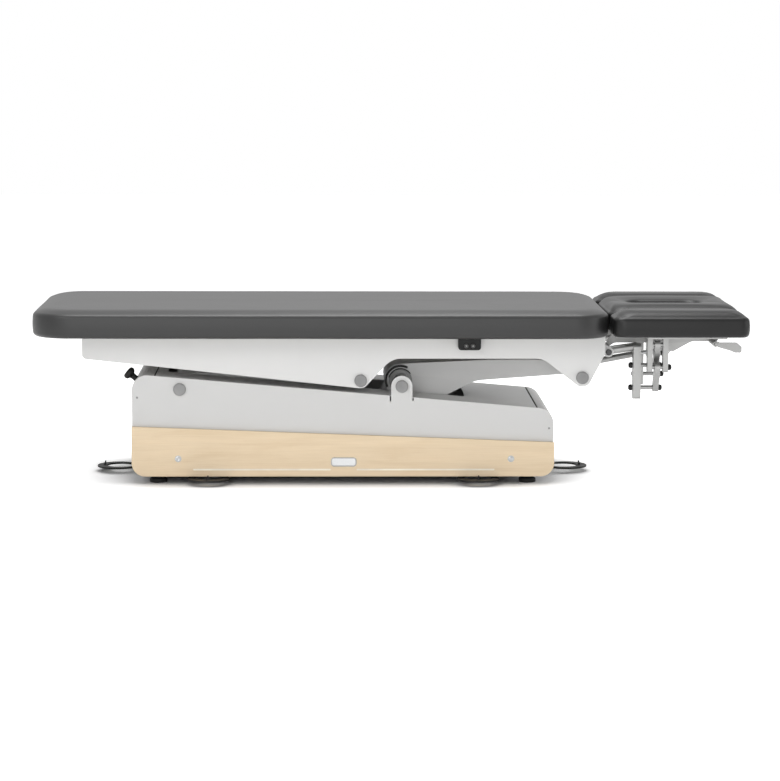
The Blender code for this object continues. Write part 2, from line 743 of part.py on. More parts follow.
def make_pedal(label, spot, out):
    hole = circle((PEDAL_REACH - PEDAL_OFFSET, 0), PEDAL_HOLE_R)
    pivot = Vector((*spot, PEDAL_HEIGHT)) - Vector((*out, 0)) * PEDAL_REACH
    bm = flat_mesh("pedal", [pedal_outline(), hole], PEDAL_PLATE)
    ob = place("foot_pedal_" + label, mesh_from(bm, "foot_pedal_" + label), pivot, BLACK_PLASTIC)
    turn = math.atan2(out[1], out[0])
    ob.rotation_euler = (0, 0, turn)
    spin = Matrix.Rotation(turn, 3, "Z")
    reach = spin @ Vector((0, PEDAL_SHAFT / 2, 0))
    shaft = rod("pedal_shaft_" + label, pivot - reach, pivot + reach, PEDAL_SHAFT_R, None, 12)
    edge = PEDAL_REACH - PEDAL_OFFSET + PEDAL_HOLE_R + 0.002
    base = PEDAL_PLATE * 0.25
    tip = PEDAL_PLATE / 2 + PEDAL_FIN_HEIGHT
    fin_line = [(edge, base), (edge + PEDAL_FIN_LENGTH, base), (edge + PEDAL_FIN_LENGTH * 0.3, tip)]
    fin_bm = flat_mesh("fin", [fin_line + [(edge + PEDAL_FIN_LENGTH * 0.1, tip)]], PEDAL_FIN)
    bmesh.ops.rotate(fin_bm, verts=fin_bm.verts, matrix=Matrix.Rotation(math.pi / 2, 3, "X"))
    fin = place("pedal_fin_" + label, mesh_from(fin_bm, "pedal_fin_" + label), pivot)
    fin.rotation_euler = (0, 0, turn)
    return weld(ob, shaft, fin)


for label, (spot, out) in pedal_spots.items():
    make_pedal(label, spot, out)

# Levelling feet
foot_top = BASE_Z - GAP
foot_profile = [
    (0, TRAY_TOP + FOOT_STUD_TOP),
    (FOOT_STUD_R, TRAY_TOP + FOOT_STUD_TOP),
    (FOOT_STUD_R, foot_top),
    (FOOT_NUT_R, foot_top),
    (FOOT_NUT_R, FOOT_DISC),
    (FOOT_R * 0.92, FOOT_DISC),
    (FOOT_R, FOOT_DISC * 0.7),
    (FOOT_R, 0),
    (0, 0),
]
for label, (x, y) in zip(("foot_front", "foot_rear", "head_front", "head_rear"), foot_places):
    turned("levelling_foot_" + label, foot_profile, (x, y, 0), (0, 0, 1), BLACK_RUBBER, 20)

# Lock-out knob on the rounded foot end
knob_top = KNOB_STEM + KNOB_HEAD
knob_profile = [
    (0, knob_top),
    (KNOB_R * 0.72, knob_top),
    (KNOB_R * 0.96, knob_top - KNOB_HEAD * 0.2),
    (KNOB_R, knob_top - KNOB_HEAD * 0.5),
    (KNOB_R * 0.9, KNOB_STEM + KNOB_HEAD * 0.12),
    (KNOB_R * 0.7, KNOB_STEM),
    (KNOB_STEM_R, KNOB_STEM - KNOB_STEM * 0.2),
    (KNOB_STEM_R, -KNOB_SHANK),
    (0, -KNOB_SHANK),
]
turned("lockout_knob", knob_profile, knob_seat, knob_axis, BLACK_PLASTIC, 20)

# Mains inlet in the foot end cap
inlet_y0, inlet_y1 = INLET_Y - INLET_WIDTH / 2, INLET_Y + INLET_WIDTH / 2
inlet_z0, inlet_z1 = INLET_Z - INLET_HEIGHT / 2, INLET_Z + INLET_HEIGHT / 2
inlet_low = (BASE_X0 - INLET_WALL, inlet_y0, inlet_z0)
inlet_high = (BASE_X0 + INLET_DEPTH, inlet_y1, inlet_z1)
inlet = box("mains_inlet", inlet_low, inlet_high, BLACK_PLASTIC)
inlet_flange = box(
    "inlet_flange",
    (BASE_X0 - INLET_WALL - GAP, inlet_y0 - INLET_FLANGE, inlet_z0 - INLET_FLANGE),
    (BASE_X0 - GAP, inlet_y1 + INLET_FLANGE, inlet_z1 + INLET_FLANGE),
)
inlet_pocket = box(
    "inlet_pocket",
    (BASE_X0 - 0.02, inlet_y0 + INLET_WALL, inlet_z0 + INLET_WALL),
    (BASE_X0 + INLET_DEPTH - INLET_WALL, inlet_y1 - INLET_WALL, inlet_z1 - INLET_WALL),
)
cut(weld(inlet, inlet_flange), inlet_pocket)


# Pivot axles with their round caps
def axle(name, point, look=CAP_GREY):
    end = HALF_BASE + GAP
    half = [
        (0, end + AXLE_CAP),
        (AXLE_CAP_R - CAP_CHAMFER, end + AXLE_CAP),
        (AXLE_CAP_R, end + AXLE_CAP - CAP_CHAMFER),
        (AXLE_CAP_R, end),
        (AXLE_R, end),
    ]
    return turned(name, half + [(r, -z) for r, z in half[::-1]], point, (0, 1, 0), look, 24)


axle("axle_foot_lower", A)
axle("axle_head_lower", B)
axle_c = axle("axle_foot_upper", C)
axle_d = axle("axle_head_upper", D)


# Lift arms: pressed channels on torsion tubes
def torsion(name, point):
    end = Vector((0, INNER_HALF, 0))
    tube = rod(name + "_tube", point - end, point + end, TORSION_R)
    far = end * 1.1
    bore = rod(name + "_bore", point - far, point + far, AXLE_R + RUN)
    return tube, bore


lift_axis = axis_empty("lift_axis", A)
along = math.atan2(ARM.z, ARM.x)


def turn_flat(points, angle, shift=(0, 0)):
    c, s = math.cos(angle), math.sin(angle)
    return [(u * c - v * s + shift[0], u * s + v * c + shift[1]) for u, v in points]


def foot_arm_line(inset, drop):
    base = hull_pair((0, 0), FOOT_ARM_R - inset, (ARM_LENGTH, 0), FOOT_ARM_R - inset)
    lowered = [(u, v - drop if v < 0 else v) for u, v in base]
    return turn_flat(lowered, along, (A.x, A.z))


width = ARM_HALF_WIDTH
foot_arm = upright("foot_arm", [foot_arm_line(0, 0)], -width, width, GREY_PAINT, (A.x, A.z))
inside = ARM_HALF_WIDTH - ARM_SHEET
foot_arm_void = upright("foot_arm_void", [foot_arm_line(ARM_SHEET, FOOT_ARM_R)], -inside, inside)
tube_a, bore_a = torsion("foot_arm_a", A)
tube_c, bore_c = torsion("foot_arm_c", C)
weld(cut(foot_arm, foot_arm_void), tube_a, tube_c)
cut(foot_arm, bore_a, bore_c)
carry(lift_axis, foot_arm)


def head_arm_line(inset, drop):
    hub = HEAD_HUB_R - inset
    tip = HEAD_TIP_R - inset
    top = HEAD_ARM_TOP - inset
    run = ARM.x
    shoulder = run - HEAD_ARM_HEEL
    corners = [
        (-hub, -HEAD_HUB_R - drop, hub if not drop else 0),
        (-hub, hub, hub * 0.99),
        (HEAD_ARM_BEND, top, 0.30),
        (shoulder, top + 0.001, 0.12),
        (run + tip, ARM.z + tip, tip * 0.99),
        (run + tip, ARM.z - HEAD_TIP_R - drop, tip * 0.65 if not drop else 0),
        (run - 2 * HEAD_TIP_R, ARM.z - HEAD_TIP_R * 0.28 - drop, 0.03),
        (HEAD_ARM_THROAT, -drop, 0.08),
        (HEAD_ARM_HEEL, -HEAD_HUB_R - drop, 0.05),
    ]
    return [(u + B.x, v + B.z) for u, v in rounded(corners)]


head_arm = upright("head_arm", [head_arm_line(0, 0)], -width, width, GREY_PAINT, (B.x, B.z))
head_arm_void = upright("head_arm_void", [head_arm_line(ARM_SHEET, HEAD_HUB_R)], -inside, inside)
tube_b, bore_b = torsion("head_arm_b", B)
tube_d, bore_d = torsion("head_arm_d", D)

# Slotted lever under the head arm, worked by the roller on the actuator's rod
swing = math.radians(LIFT_SWING)
lever_rest = -math.pi / 2 - swing / 2
roller_start = -LEVER_R * math.tan(swing / 2)
roller_travel = 2 * LEVER_R * math.tan(swing / 2)
stray = 0.0
for step in range(41):
    ideal = LEVER_R * math.tan(-swing / 2 + swing * step / 40)
    stray = max(stray, abs(ideal - roller_start - roller_travel * step / 40))
slot_wide = ROLLER_R + stray + RUN
slot_in = LEVER_R - RUN - 0.002
slot_out = LEVER_R / math.cos(swing / 2) + RUN + 0.002
lever_line = hull_pair((0, 0), TORSION_R + 0.006, (slot_out, 0), LEVER_END_R)
slot_line = hull_pair((slot_in, 0), slot_wide, (slot_out, 0.000001), slot_wide - 0.000001)
lever_parts = []
for hand in (-1, 1):
    y0 = hand * LEVER_SPREAD
    y1 = hand * (LEVER_SPREAD + LEVER_PLATE)
    lines = [turn_flat(lever_line, lever_rest, (B.x, B.z)), turn_flat(slot_line, lever_rest, (B.x, B.z))]
    lever_parts.append(upright("lift_lever" + str(hand), lines, y0, y1))
weld(cut(head_arm, head_arm_void), tube_b, tube_d, *lever_parts)
cut(head_arm, bore_b, bore_d)

# Actuator: fixed motor and barrel, sliding rod with a cross roller
rod_z = B.z - LEVER_R
roller = Vector((B.x + roller_start, 0, rod_z))
roller_half = LEVER_SPREAD + LEVER_PLATE + 0.004
rod_tail = roller - Vector((ROD_LENGTH, 0, 0))
piston = rod("actuator_rod", rod_tail, roller + Vector((ROLLER_R * 0.6, 0, 0)), ROD_R, BRIGHT_STEEL)
roller_side = Vector((0, roller_half, 0))
weld(piston, rod("roller_pin", roller - roller_side, roller + roller_side, ROLLER_R))
nose = roller.x - BARREL_NOSE
barrel_start = nose - BARREL_LENGTH
housing = rod("actuator_housing", (barrel_start, 0, rod_z), (nose, 0, rod_z), BARREL_R, DARK_STEEL, 20)
motor = box("motor", (barrel_start - MOTOR_LENGTH, -MOTOR_HALF, rod_z - MOTOR_HALF),
            (barrel_start + SADDLE, MOTOR_HALF, rod_z + MOTOR_HALF))
weld(housing, motor)
saddle_half = BARREL_R * 0.8
for index, x in enumerate((barrel_start - MOTOR_LENGTH / 2, nose - 2 * SADDLE)):
    weld(housing, box("saddle" + str(index), (x - SADDLE / 2, -saddle_half, TRAY_TOP + GAP),
                      (x + SADDLE / 2, saddle_half, rod_z - BARREL_R * 0.3)))
barrel_bore = rod("barrel_bore", rod_tail - Vector((0.01, 0, 0)), (nose + 0.01, 0, rod_z), ROD_R + RUN)
cut(housing, barrel_bore)

control_x1 = BASE_X1 - CONTROL_INSET
box("control_unit", (control_x1 - CONTROL_LENGTH, -CONTROL_WIDTH / 2, TRAY_TOP + GAP),
    (control_x1, CONTROL_WIDTH / 2, TRAY_TOP + GAP + CONTROL_HEIGHT), BLACK_PLASTIC, 0.004)

# Top frame: two side panels with pivot lobes, joined by cross tubes
top_axis = axis_empty("top_axis", C, lift_axis)


def tangent_from(point, centre, radius):
    """Angle, in degrees, where the lower tangent from a point on the left meets a circle."""
    away = math.degrees(math.atan2(point[1] - centre[1], point[0] - centre[0]))
    return away + math.degrees(math.acos(radius / math.dist(point, centre)))


def frame_panel_outline():
    c, d = (C.x, C.z), (D.x, D.z)
    foot = FRAME_TOP - FRAME_FOOT_DEPTH
    touch_c = tangent_from((FRAME_X0, foot), c, LOBE_C)
    line = [(FRAME_X0, FRAME_TOP, 0), (FRAME_X0, foot, FRAME_CORNER)]
    line += [(u, v, 0) for u, v in arc(c, LOBE_C, touch_c, 360 + LOBE_C_RISE - 90)]
    u, v = line[-1][:2]
    line.append((u + (ARCH_Z - v) / math.tan(math.radians(LOBE_C_RISE)), ARCH_Z, ARCH_BEND))
    lobe = arc(d, LOBE_D, LOBE_D_FALL - 90, LOBE_D_RISE - 90)
    u, v = lobe[0]
    line.append((u + (ARCH_Z - v) / math.tan(math.radians(LOBE_D_FALL)), ARCH_Z, ARCH_BEND))
    line += [(p, q, 0) for p, q in lobe]
    u, v = lobe[-1]
    line.append((FRAME_X1, v + (FRAME_X1 - u) * math.tan(math.radians(LOBE_D_RISE)), FRAME_CORNER))
    line.append((FRAME_X1, FRAME_TOP, 0))
    return rounded(line)


frame_holes = [circle((p.x, p.z), AXLE_R + GAP) for p in (C, D)]
panels = []
for side, label in ((-1, "front"), (1, "rear")):
    y0 = side * (HALF_BASE - FRAME_PANEL)
    lines = [frame_panel_outline()] + frame_holes
    panels.append(upright("frame_panel_" + label, lines, y0, side * HALF_BASE, GREY_PAINT))
panel_inner = HALF_BASE - FRAME_PANEL - GAP


def cross_tube(name, x):
    low = (x, -panel_inner, FRAME_TOP - CROSS_TUBE)
    tube = box(name, low, (x + CROSS_TUBE, panel_inner, FRAME_TOP), GREY_PAINT)
    bore = box(
        name + "_bore",
        (x + CROSS_WALL, -HALF_BASE, FRAME_TOP - CROSS_TUBE + CROSS_WALL),
        (x + CROSS_TUBE - CROSS_WALL, HALF_BASE, FRAME_TOP - CROSS_WALL),
    )
    return cut(tube, bore)


cross_foot = cross_tube("cross_tube_foot", FRAME_X0 + CROSS_FOOT_INSET)
cross_mid = cross_tube("cross_tube_mid", PAD_X0 + CROSS_MID_INSET)
cross_head = cross_tube("cross_tube_head", CROSS_HEAD_X)
ear_root = (CROSS_HEAD_X + CROSS_TUBE / 2, FRAME_TOP - CROSS_TUBE * 0.62)
ear_line = hull_pair(ear_root, CROSS_TUBE * 0.34, (HINGE.x, HINGE.z), EAR_R)
pin_hole = circle((HINGE.x, HINGE.z), HINGE_PIN_R + GAP)
ear_inner = HINGE_HUB_HALF + RUN
for hand in (-1, 1):
    y0 = hand * ear_inner
    y1 = hand * (ear_inner + EAR)
    weld(cross_head, upright("hinge_ear" + str(hand), [ear_line, pin_hole], y0, y1))
clevis_line = hull_pair(ear_root, CROSS_TUBE * 0.34, (GAS_FOOT.x, GAS_FOOT.z), GAS_PIN_R + GAS_EYE_WALL)
clevis_gap = GAS_EYE / 2 + RUN
for hand in (-1, 1):
    y0 = GAS_FOOT.y + hand * clevis_gap
    y1 = GAS_FOOT.y + hand * (clevis_gap + GAS_CLEVIS)
    weld(cross_head, upright("gas_clevis" + str(hand), [clevis_line], y0, y1))
clevis_reach = Vector((0, clevis_gap + GAS_CLEVIS * 0.6, 0))
weld(cross_head, rod("gas_foot_pin", GAS_FOOT - clevis_reach, GAS_FOOT + clevis_reach, GAS_PIN_R))

pin_end = ear_inner + EAR + GAP
pin_half = [
    (0, pin_end + PIN_HEAD),
    (HINGE_PIN_R + 0.002, pin_end + PIN_HEAD),
    (HINGE_PIN_R + 0.003, pin_end + PIN_HEAD * 0.6),
    (HINGE_PIN_R + 0.003, pin_end),
    (HINGE_PIN_R, pin_end),
]
hinge_pin = turned("head_hinge_pin", pin_half + [(r, -z) for r, z in pin_half[::-1]], HINGE, (0, 1, 0),
                   BRIGHT_STEEL, 20)

# Main pad on its board
board_x0, board_x1 = PAD_X0 + PAD_BOARD_INSET, PAD_X1 - PAD_BOARD_INSET
board_half = HALF_TOP - PAD_BOARD_INSET
board_corner = MAIN_PAD_CORNER - PAD_BOARD_INSET
board_line = ring_outline(board_x0, board_x1, -board_half, board_half, board_corner)
board = lying("main_pad_board", [board_line], PAD_Z, PAD_Z + PAD_BOARD, PLYWOOD)
main_pad = cushion("main_pad", PAD_X0, PAD_X1, -HALF_TOP, HALF_TOP, PAD_Z, MAIN_PAD_THICK, MAIN_PAD_CORNER,
                   MAIN_PAD_CROWN, MAIN_SEAM_DROP, LEATHERETTE, PAD_BOARD)

# Switch box under the front edge, with two push buttons
switch_x0 = PAD_X0 + SWITCH_START
switch_z1 = FRAME_TOP - SWITCH_DROP
switch_z0 = switch_z1 - SWITCH_HEIGHT
switch_back = -(HALF_BASE + GAP)
switch_face = switch_back - SWITCH_DEPTH
switch_line = rounded([
    (switch_x0, switch_z0, SWITCH_ROUND),
    (switch_x0 + SWITCH_LENGTH, switch_z0, SWITCH_ROUND),
    (switch_x0 + SWITCH_LENGTH, switch_z1, 0.002),
    (switch_x0, switch_z1, 0.002),
])
switch_box = upright("switch_box", [switch_line], switch_face, switch_back, BLACK_PLASTIC)
buttons = []
for hand, label in ((-1, "down"), (1, "up")):
    x = switch_x0 + SWITCH_LENGTH / 2 + hand * BUTTON_PITCH / 2
    z = switch_z1 - BUTTON_DROP
    face = Vector((x, switch_face, z))
    deep = face + Vector((0, BUTTON_STEM + 0.003, 0))
    cut(switch_box, rod("button_hole_" + label, face - Vector((0, 0.01, 0)), deep, BUTTON_R + RUN))
    button_line = [
        (0, BUTTON_PROUD),
        (BUTTON_R * 0.85, BUTTON_PROUD),
        (BUTTON_R, BUTTON_PROUD * 0.6),
        (BUTTON_R, -BUTTON_STEM),
        (0, -BUTTON_STEM),
    ]
    buttons.append(turned("button_" + label, button_line, face, (0, -1, 0), CAP_GREY, 16))

carry(top_axis, axle_c, axle_d, *panels, cross_foot, cross_mid, cross_head, hinge_pin)
carry(top_axis, board, main_pad, switch_box, *buttons)

# Head section: hinge tube, two rails and a seat plate round the face slot
head_axis = axis_empty("head_axis", HINGE, top_axis)
seat_top = HEAD_Z - GAP
seat_low = seat_top - SEAT_PLATE
slot_x = HEAD_X0 + FACE_SLOT_START
face_line = ring_outline(slot_x, slot_x + FACE_SLOT_LENGTH, -FACE_SLOT_WIDTH / 2, FACE_SLOT_WIDTH / 2,
                         FACE_SLOT_WIDTH * 0.45)
seat_line = ring_outline(HEAD_X0 + SEAT_START, HEAD_X1 - SEAT_END, -SEAT_HALF, SEAT_HALF, 0.015)
head_frame = lying("head_frame", [seat_line, face_line], seat_low, seat_top, BARE_ALUMINIUM)
rail_top = seat_low + SEAT_PLATE / 2
rail_low = seat_top - RAIL_DEPTH
gusset_low = seat_top - GUSSET_DEPTH
gusset = HINGE.x + GUSSET_X
rail_line = rounded([
    (HINGE.x - HINGE_HUB_R * 0.5, HINGE.z - HINGE_HUB_R * 0.5, 0),
    (HINGE.x + HINGE_HUB_R * 2, rail_low, 0.02),
    (gusset - GUSSET_HALF - GUSSET_RAMP * 0.5, rail_low, 0.02),
    (gusset - GUSSET_HALF, gusset_low, 0.01),
    (gusset + GUSSET_HALF, gusset_low, 0.01),
    (gusset + GUSSET_HALF + GUSSET_RAMP, rail_low + 0.004, 0.03),
    (HEAD_X1 - RAIL_END, rail_low + 0.004, 0.008),
    (HEAD_X1 - RAIL_END, rail_top, 0),
    (HEAD_X0 + SEAT_START + 0.006, rail_top, 0),
    (HINGE.x - HINGE_HUB_R * 0.2, HINGE.z + HINGE_HUB_R * 0.6, 0),
])
for hand in (-1, 1):
    y0 = hand * (RAIL_Y - RAIL_PLATE / 2)
    y1 = hand * (RAIL_Y + RAIL_PLATE / 2)
    weld(head_frame, upright("head_rail" + str(hand), [rail_line], y0, y1))
hub_half = Vector((0, HINGE_HUB_HALF, 0))
weld(head_frame, rod("hinge_hub", HINGE - hub_half, HINGE + hub_half, HINGE_HUB_R))
pin_start = GAS_TOP + Vector((0, -(RAIL_Y - GAS_Y), 0))
pin_stop = GAS_TOP + Vector((0, GAS_EYE / 2 + 0.003, 0))
weld(head_frame, rod("gas_top_pin", pin_start, pin_stop, GAS_PIN_R))
lever_pivot = HINGE + Vector((LEVER_X, -(RAIL_Y + RAIL_PLATE / 2), 0))
lever_pivot.z = seat_top - LEVER_DROP
lever_out = Vector((0, -(LEVER_WIDTH + 0.004), 0))
lever_root = lever_pivot + Vector((0, RAIL_PLATE / 2, 0))
weld(head_frame, rod("lever_pin", lever_root, lever_pivot + lever_out, LEVER_PIN_R))
hub_bore = Vector((0, HINGE_HUB_HALF + 0.01, 0))
cut(head_frame, rod("hinge_bore", HINGE - hub_bore, HINGE + hub_bore, HINGE_PIN_R + RUN))
carry(head_axis, head_frame)

# Head pad with its face slot
half_head = HEAD_PAD_WIDTH / 2
HEAD_FORM = (HEAD_Z, HEAD_PAD_THICK, HEAD_PAD_CORNER, HEAD_PAD_CROWN, HEAD_SEAM_DROP, HEAD_LEATHERETTE)
head_pad = cushion("head_pad", HEAD_X0, HEAD_X1, -half_head, half_head, *HEAD_FORM)
cut(head_pad, lying("face_slot", [face_line], HEAD_Z - 0.02, HEAD_Z + HEAD_PAD_THICK + 0.02))
carry(head_axis, head_pad)

# Release lever: a bent sheet on a small hub
lx, lz = lever_pivot.x, lever_pivot.z
lever_y0 = lever_pivot.y - RUN
lever_y1 = lever_y0 - LEVER_WIDTH
paddle = rounded([
    (lx, lz + LEVER_SHEET, 0),
    (lx, lz, 0),
    (lx + LEVER_REACH * 0.8, lz - LEVER_FALL, 0.015),
    (lx + LEVER_REACH, lz - LEVER_FALL + LEVER_CURL, 0),
    (lx + LEVER_REACH - LEVER_SHEET * 0.4, lz - LEVER_FALL + LEVER_CURL + LEVER_SHEET, 0),
    (lx + LEVER_REACH * 0.8, lz - LEVER_FALL + LEVER_SHEET, 0.012),
])
release = upright("release_lever", [paddle], lever_y0, lever_y1, BARE_ALUMINIUM, (lx, lz))
lever_hub = rod("lever_hub", (lx, lever_y0, lz), (lx, lever_y1, lz), LEVER_HUB_R)
lever_bore = rod("lever_bore", (lx, lever_y0 + 0.01, lz), (lx, lever_y1 - 0.01, lz), LEVER_PIN_R + RUN)
cut(weld(release, lever_hub), lever_bore)
carry(head_axis, release)

# Gas spring between the cross tube's clevis and the near rail
reach = GAS_TOP - GAS_FOOT
gas_dir = reach.normalized()
gas_length = reach.length
GAS_TUBE_LENGTH = GAS_TUBE_SHARE * gas_length
GAS_ROD_INSIDE = GAS_ROD_SHARE * gas_length


def gas_at(tilt):
    spin = Matrix.Rotation(math.radians(tilt), 3, "Y")
    return HINGE + spin @ (GAS_TOP - HINGE) - GAS_FOOT


def pitch_of(v):
    return math.atan2(-v.z, v.x)


gas_end = gas_at(TILT_SWING)
gas_turn = pitch_of(gas_end) - pitch_of(reach)
gas_stroke = gas_end.length - gas_length
gas_stray = 0.0
for step in range(41):
    share = step / 40
    pitch = pitch_of(reach) + gas_turn * share
    length = gas_length + gas_stroke * share
    eye = Vector((math.cos(pitch), 0, -math.sin(pitch))) * length
    gas_stray = max(gas_stray, (eye - gas_at(TILT_SWING * share)).length)
eye_hole = GAS_PIN_R + gas_stray + RUN
eye_half = Vector((0, GAS_EYE / 2, 0))
tube_from = GAS_FOOT + gas_dir * (GAS_PIN_R + GAS_EYE_WALL * 0.5)
tube_to = GAS_FOOT + gas_dir * GAS_TUBE_LENGTH
gas_tube = rod("gas_cylinder", tube_from, tube_to, GAS_TUBE_R, BARE_ALUMINIUM)
weld(gas_tube, rod("gas_foot_eye", GAS_FOOT - eye_half, GAS_FOOT + eye_half, GAS_PIN_R + GAS_EYE_WALL))
cut(gas_tube, rod("gas_foot_bore", GAS_FOOT - eye_half * 2, GAS_FOOT + eye_half * 2, GAS_PIN_R + RUN))
gas_tail = GAS_FOOT + gas_dir * (GAS_TUBE_LENGTH - GAS_ROD_INSIDE)
gas_room = gas_tail + gas_dir * (gas_stroke - 0.006)
cut(gas_tube, rod("gas_bore", gas_room, tube_to + gas_dir * 0.01, GAS_ROD_R + RUN, None, 16))
rod_to = GAS_TOP - gas_dir * (eye_hole + GAS_EYE_WALL * 0.4)
gas_rod = rod("gas_rod", gas_tail, rod_to, GAS_ROD_R, BRIGHT_STEEL, 16)
weld(gas_rod, rod("gas_top_eye", GAS_TOP - eye_half, GAS_TOP + eye_half, eye_hole + GAS_EYE_WALL))
cut(gas_rod, rod("gas_top_bore", GAS_TOP - eye_half * 2, GAS_TOP + eye_half * 2, eye_hole))
gas_axis = axis_empty("gas_axis", GAS_FOOT, top_axis)
carry(gas_axis, gas_tube, gas_rod)

# Arm pads on parallel links, one each side of the head pad
post_x0 = HINGE.x + POST_X
post_x1 = post_x0 + POST_WIDTH
bar1_x0 = post_x1 + LINK_GAP
bar1_x1 = bar1_x0 + HANGER_BAR
link_x0 = bar1_x1 + LINK_SPACE
link_x1 = link_x0 + LINK_BAR
bar2_x0 = link_x1 + LINK_SPACE
bar2_x1 = bar2_x0 + HANGER_BAR
lower_z = HINGE.z - LINK_LOWER_DROP
upper_z = lower_z + LINK_PITCH
arm_in = half_head + ARM_PAD_SPLIT
for side, label, shift in ((-1, "front", 0.0), (1, "rear", REAR_SET_SHIFT)):
    post_y = side * POST_Y
    hang_y = side * (POST_Y + LINK_OUT)
    y_low, y_high = post_y - POST_DEPTH / 2, post_y + POST_DEPTH / 2
    post_line = ring_outline(y_low, y_high, HINGE.z - POST_BOTTOM, HINGE.z + POST_TOP, 0.010)
    carrier = endwise("arm_carrier_" + label, [post_line], post_x0 + shift, post_x1 + shift, BARE_ALUMINIUM)
    start = Vector((HINGE.x, post_y, HINGE.z))
    finish_at = Vector((post_x0 + shift + POST_WIDTH / 2, post_y, HINGE.z + POST_TOP * 0.6))
    tube = rod("carrier_tube_" + label, start, finish_at, CARRIER_R)
    far = Vector((0, POST_DEPTH, 0))
    hub_clear = rod("carrier_clear_" + label, start - far, start + far, HINGE_HUB_R + GAP)
    weld(carrier, tube)
    cut(carrier, hub_clear)
    for z, mark in ((lower_z, "lower"), (upper_z, "upper")):
        weld(carrier, rod("carrier_pin_" + mark + label, (post_x0 + shift - PIN_OUTSIDE, post_y, z),
                          (link_x1 + shift + PIN_LINK_OUT, post_y, z), LINK_PIN_R, None, 12))
    carry(head_axis, carrier)
    lower_axis = axis_empty("arm_link_axis_" + label, (0, post_y, lower_z), head_axis)
    for z, mark in ((lower_z, "lower"), (upper_z, "upper")):
        near, out = (post_y, z), (hang_y, z + LINK_UP)
        line = hull_pair(near, LINK_DEPTH / 2, out, LINK_DEPTH / 2 - 0.000001)
        holes = [circle(near, LINK_PIN_R + RUN, 12), circle(out, LINK_PIN_R + RUN, 12)]
        link = endwise("arm_link_" + mark + "_" + label, [line] + holes, link_x0 + shift, link_x1 + shift,
                       BARE_ALUMINIUM)
        carry(lower_axis if mark == "lower" else head_axis, link)
    hanger_axis = axis_empty("arm_hanger_axis_" + label, (0, hang_y, lower_z + LINK_UP), lower_axis)
    plate_y0 = side * (arm_in + HANGER_PLATE_INSET)
    plate_y1 = side * (arm_in + HANGER_PLATE_INSET + HANGER_PLATE_WIDTH)
    plate_x0 = bar1_x0 + shift - LINK_GAP
    plate_y0, plate_y1 = sorted((plate_y0, plate_y1))
    plate_top = HEAD_Z - GAP
    plate = ring_outline(plate_x0, plate_x0 + HANGER_PLATE_LENGTH, plate_y0, plate_y1, 0.012)
    hanger = lying("arm_hanger_" + label, [plate], plate_top - HANGER_PLATE, plate_top, BARE_ALUMINIUM)
    bar_low = lower_z + LINK_UP - HANGER_TAIL
    bar_high = plate_top - HANGER_PLATE / 2
    bar_line = ring_outline(hang_y - HANGER_DEPTH / 2, hang_y + HANGER_DEPTH / 2, bar_low, bar_high, 0.008)
    weld(hanger, endwise("hanger_bar1_" + label, [bar_line], bar1_x0 + shift, bar1_x1 + shift))
    weld(hanger, endwise("hanger_bar2_" + label, [bar_line], bar2_x0 + shift, bar2_x1 + shift))
    weld(hanger, rod("hanger_pin_lower_" + label, (bar1_x0 + shift + 0.002, hang_y, lower_z + LINK_UP),
                     (bar2_x1 + shift + PIN_HANGER_OUT, hang_y, lower_z + LINK_UP), LINK_PIN_R, None, 12))
    weld(hanger, rod("hanger_pin_upper_" + label, (bar1_x0 + shift + 0.002, hang_y, upper_z + LINK_UP),
                     (bar2_x1 + shift - 0.002, hang_y, upper_z + LINK_UP), LINK_PIN_R, None, 12))
    pad_y0, pad_y1 = sorted((side * arm_in, side * HALF_TOP))
    arm_pad = cushion("arm_pad_" + label, HEAD_X0, HEAD_X1, pad_y0, pad_y1, *HEAD_FORM)
    carry(hanger_axis, hanger, arm_pad)

bpy.context.view_layer.update()
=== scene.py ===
import json
import math

import bmesh
import bpy
from mathutils import Matrix, Vector, noise


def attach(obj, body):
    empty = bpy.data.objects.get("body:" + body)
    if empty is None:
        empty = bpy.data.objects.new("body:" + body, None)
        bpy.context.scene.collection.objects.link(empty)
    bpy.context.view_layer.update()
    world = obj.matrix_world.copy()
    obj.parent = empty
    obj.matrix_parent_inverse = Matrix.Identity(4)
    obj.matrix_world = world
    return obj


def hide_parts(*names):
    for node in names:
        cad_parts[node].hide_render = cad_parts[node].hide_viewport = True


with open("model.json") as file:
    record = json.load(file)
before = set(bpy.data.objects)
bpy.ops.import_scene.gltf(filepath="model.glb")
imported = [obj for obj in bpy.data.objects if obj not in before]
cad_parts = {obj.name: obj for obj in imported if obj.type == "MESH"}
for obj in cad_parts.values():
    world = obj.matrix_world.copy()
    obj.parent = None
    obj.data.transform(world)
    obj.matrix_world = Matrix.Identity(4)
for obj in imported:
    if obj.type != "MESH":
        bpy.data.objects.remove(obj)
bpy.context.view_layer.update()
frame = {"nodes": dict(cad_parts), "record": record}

RECORD = frame["record"]
NODES = frame["nodes"]
BODY_OF = {node: body for body, members in RECORD["behaviour"]["bodies"].items() for node in members}
SLOT_OF = {part["node"]: part["material_slot"] for part in RECORD["subparts"]}
SCENE = bpy.context.scene
SHOWN = bpy.data.collections.new("dressed_table")
SCENE.collection.children.link(SHOWN)
SIDES = ((-1, "front"), (1, "rear"))

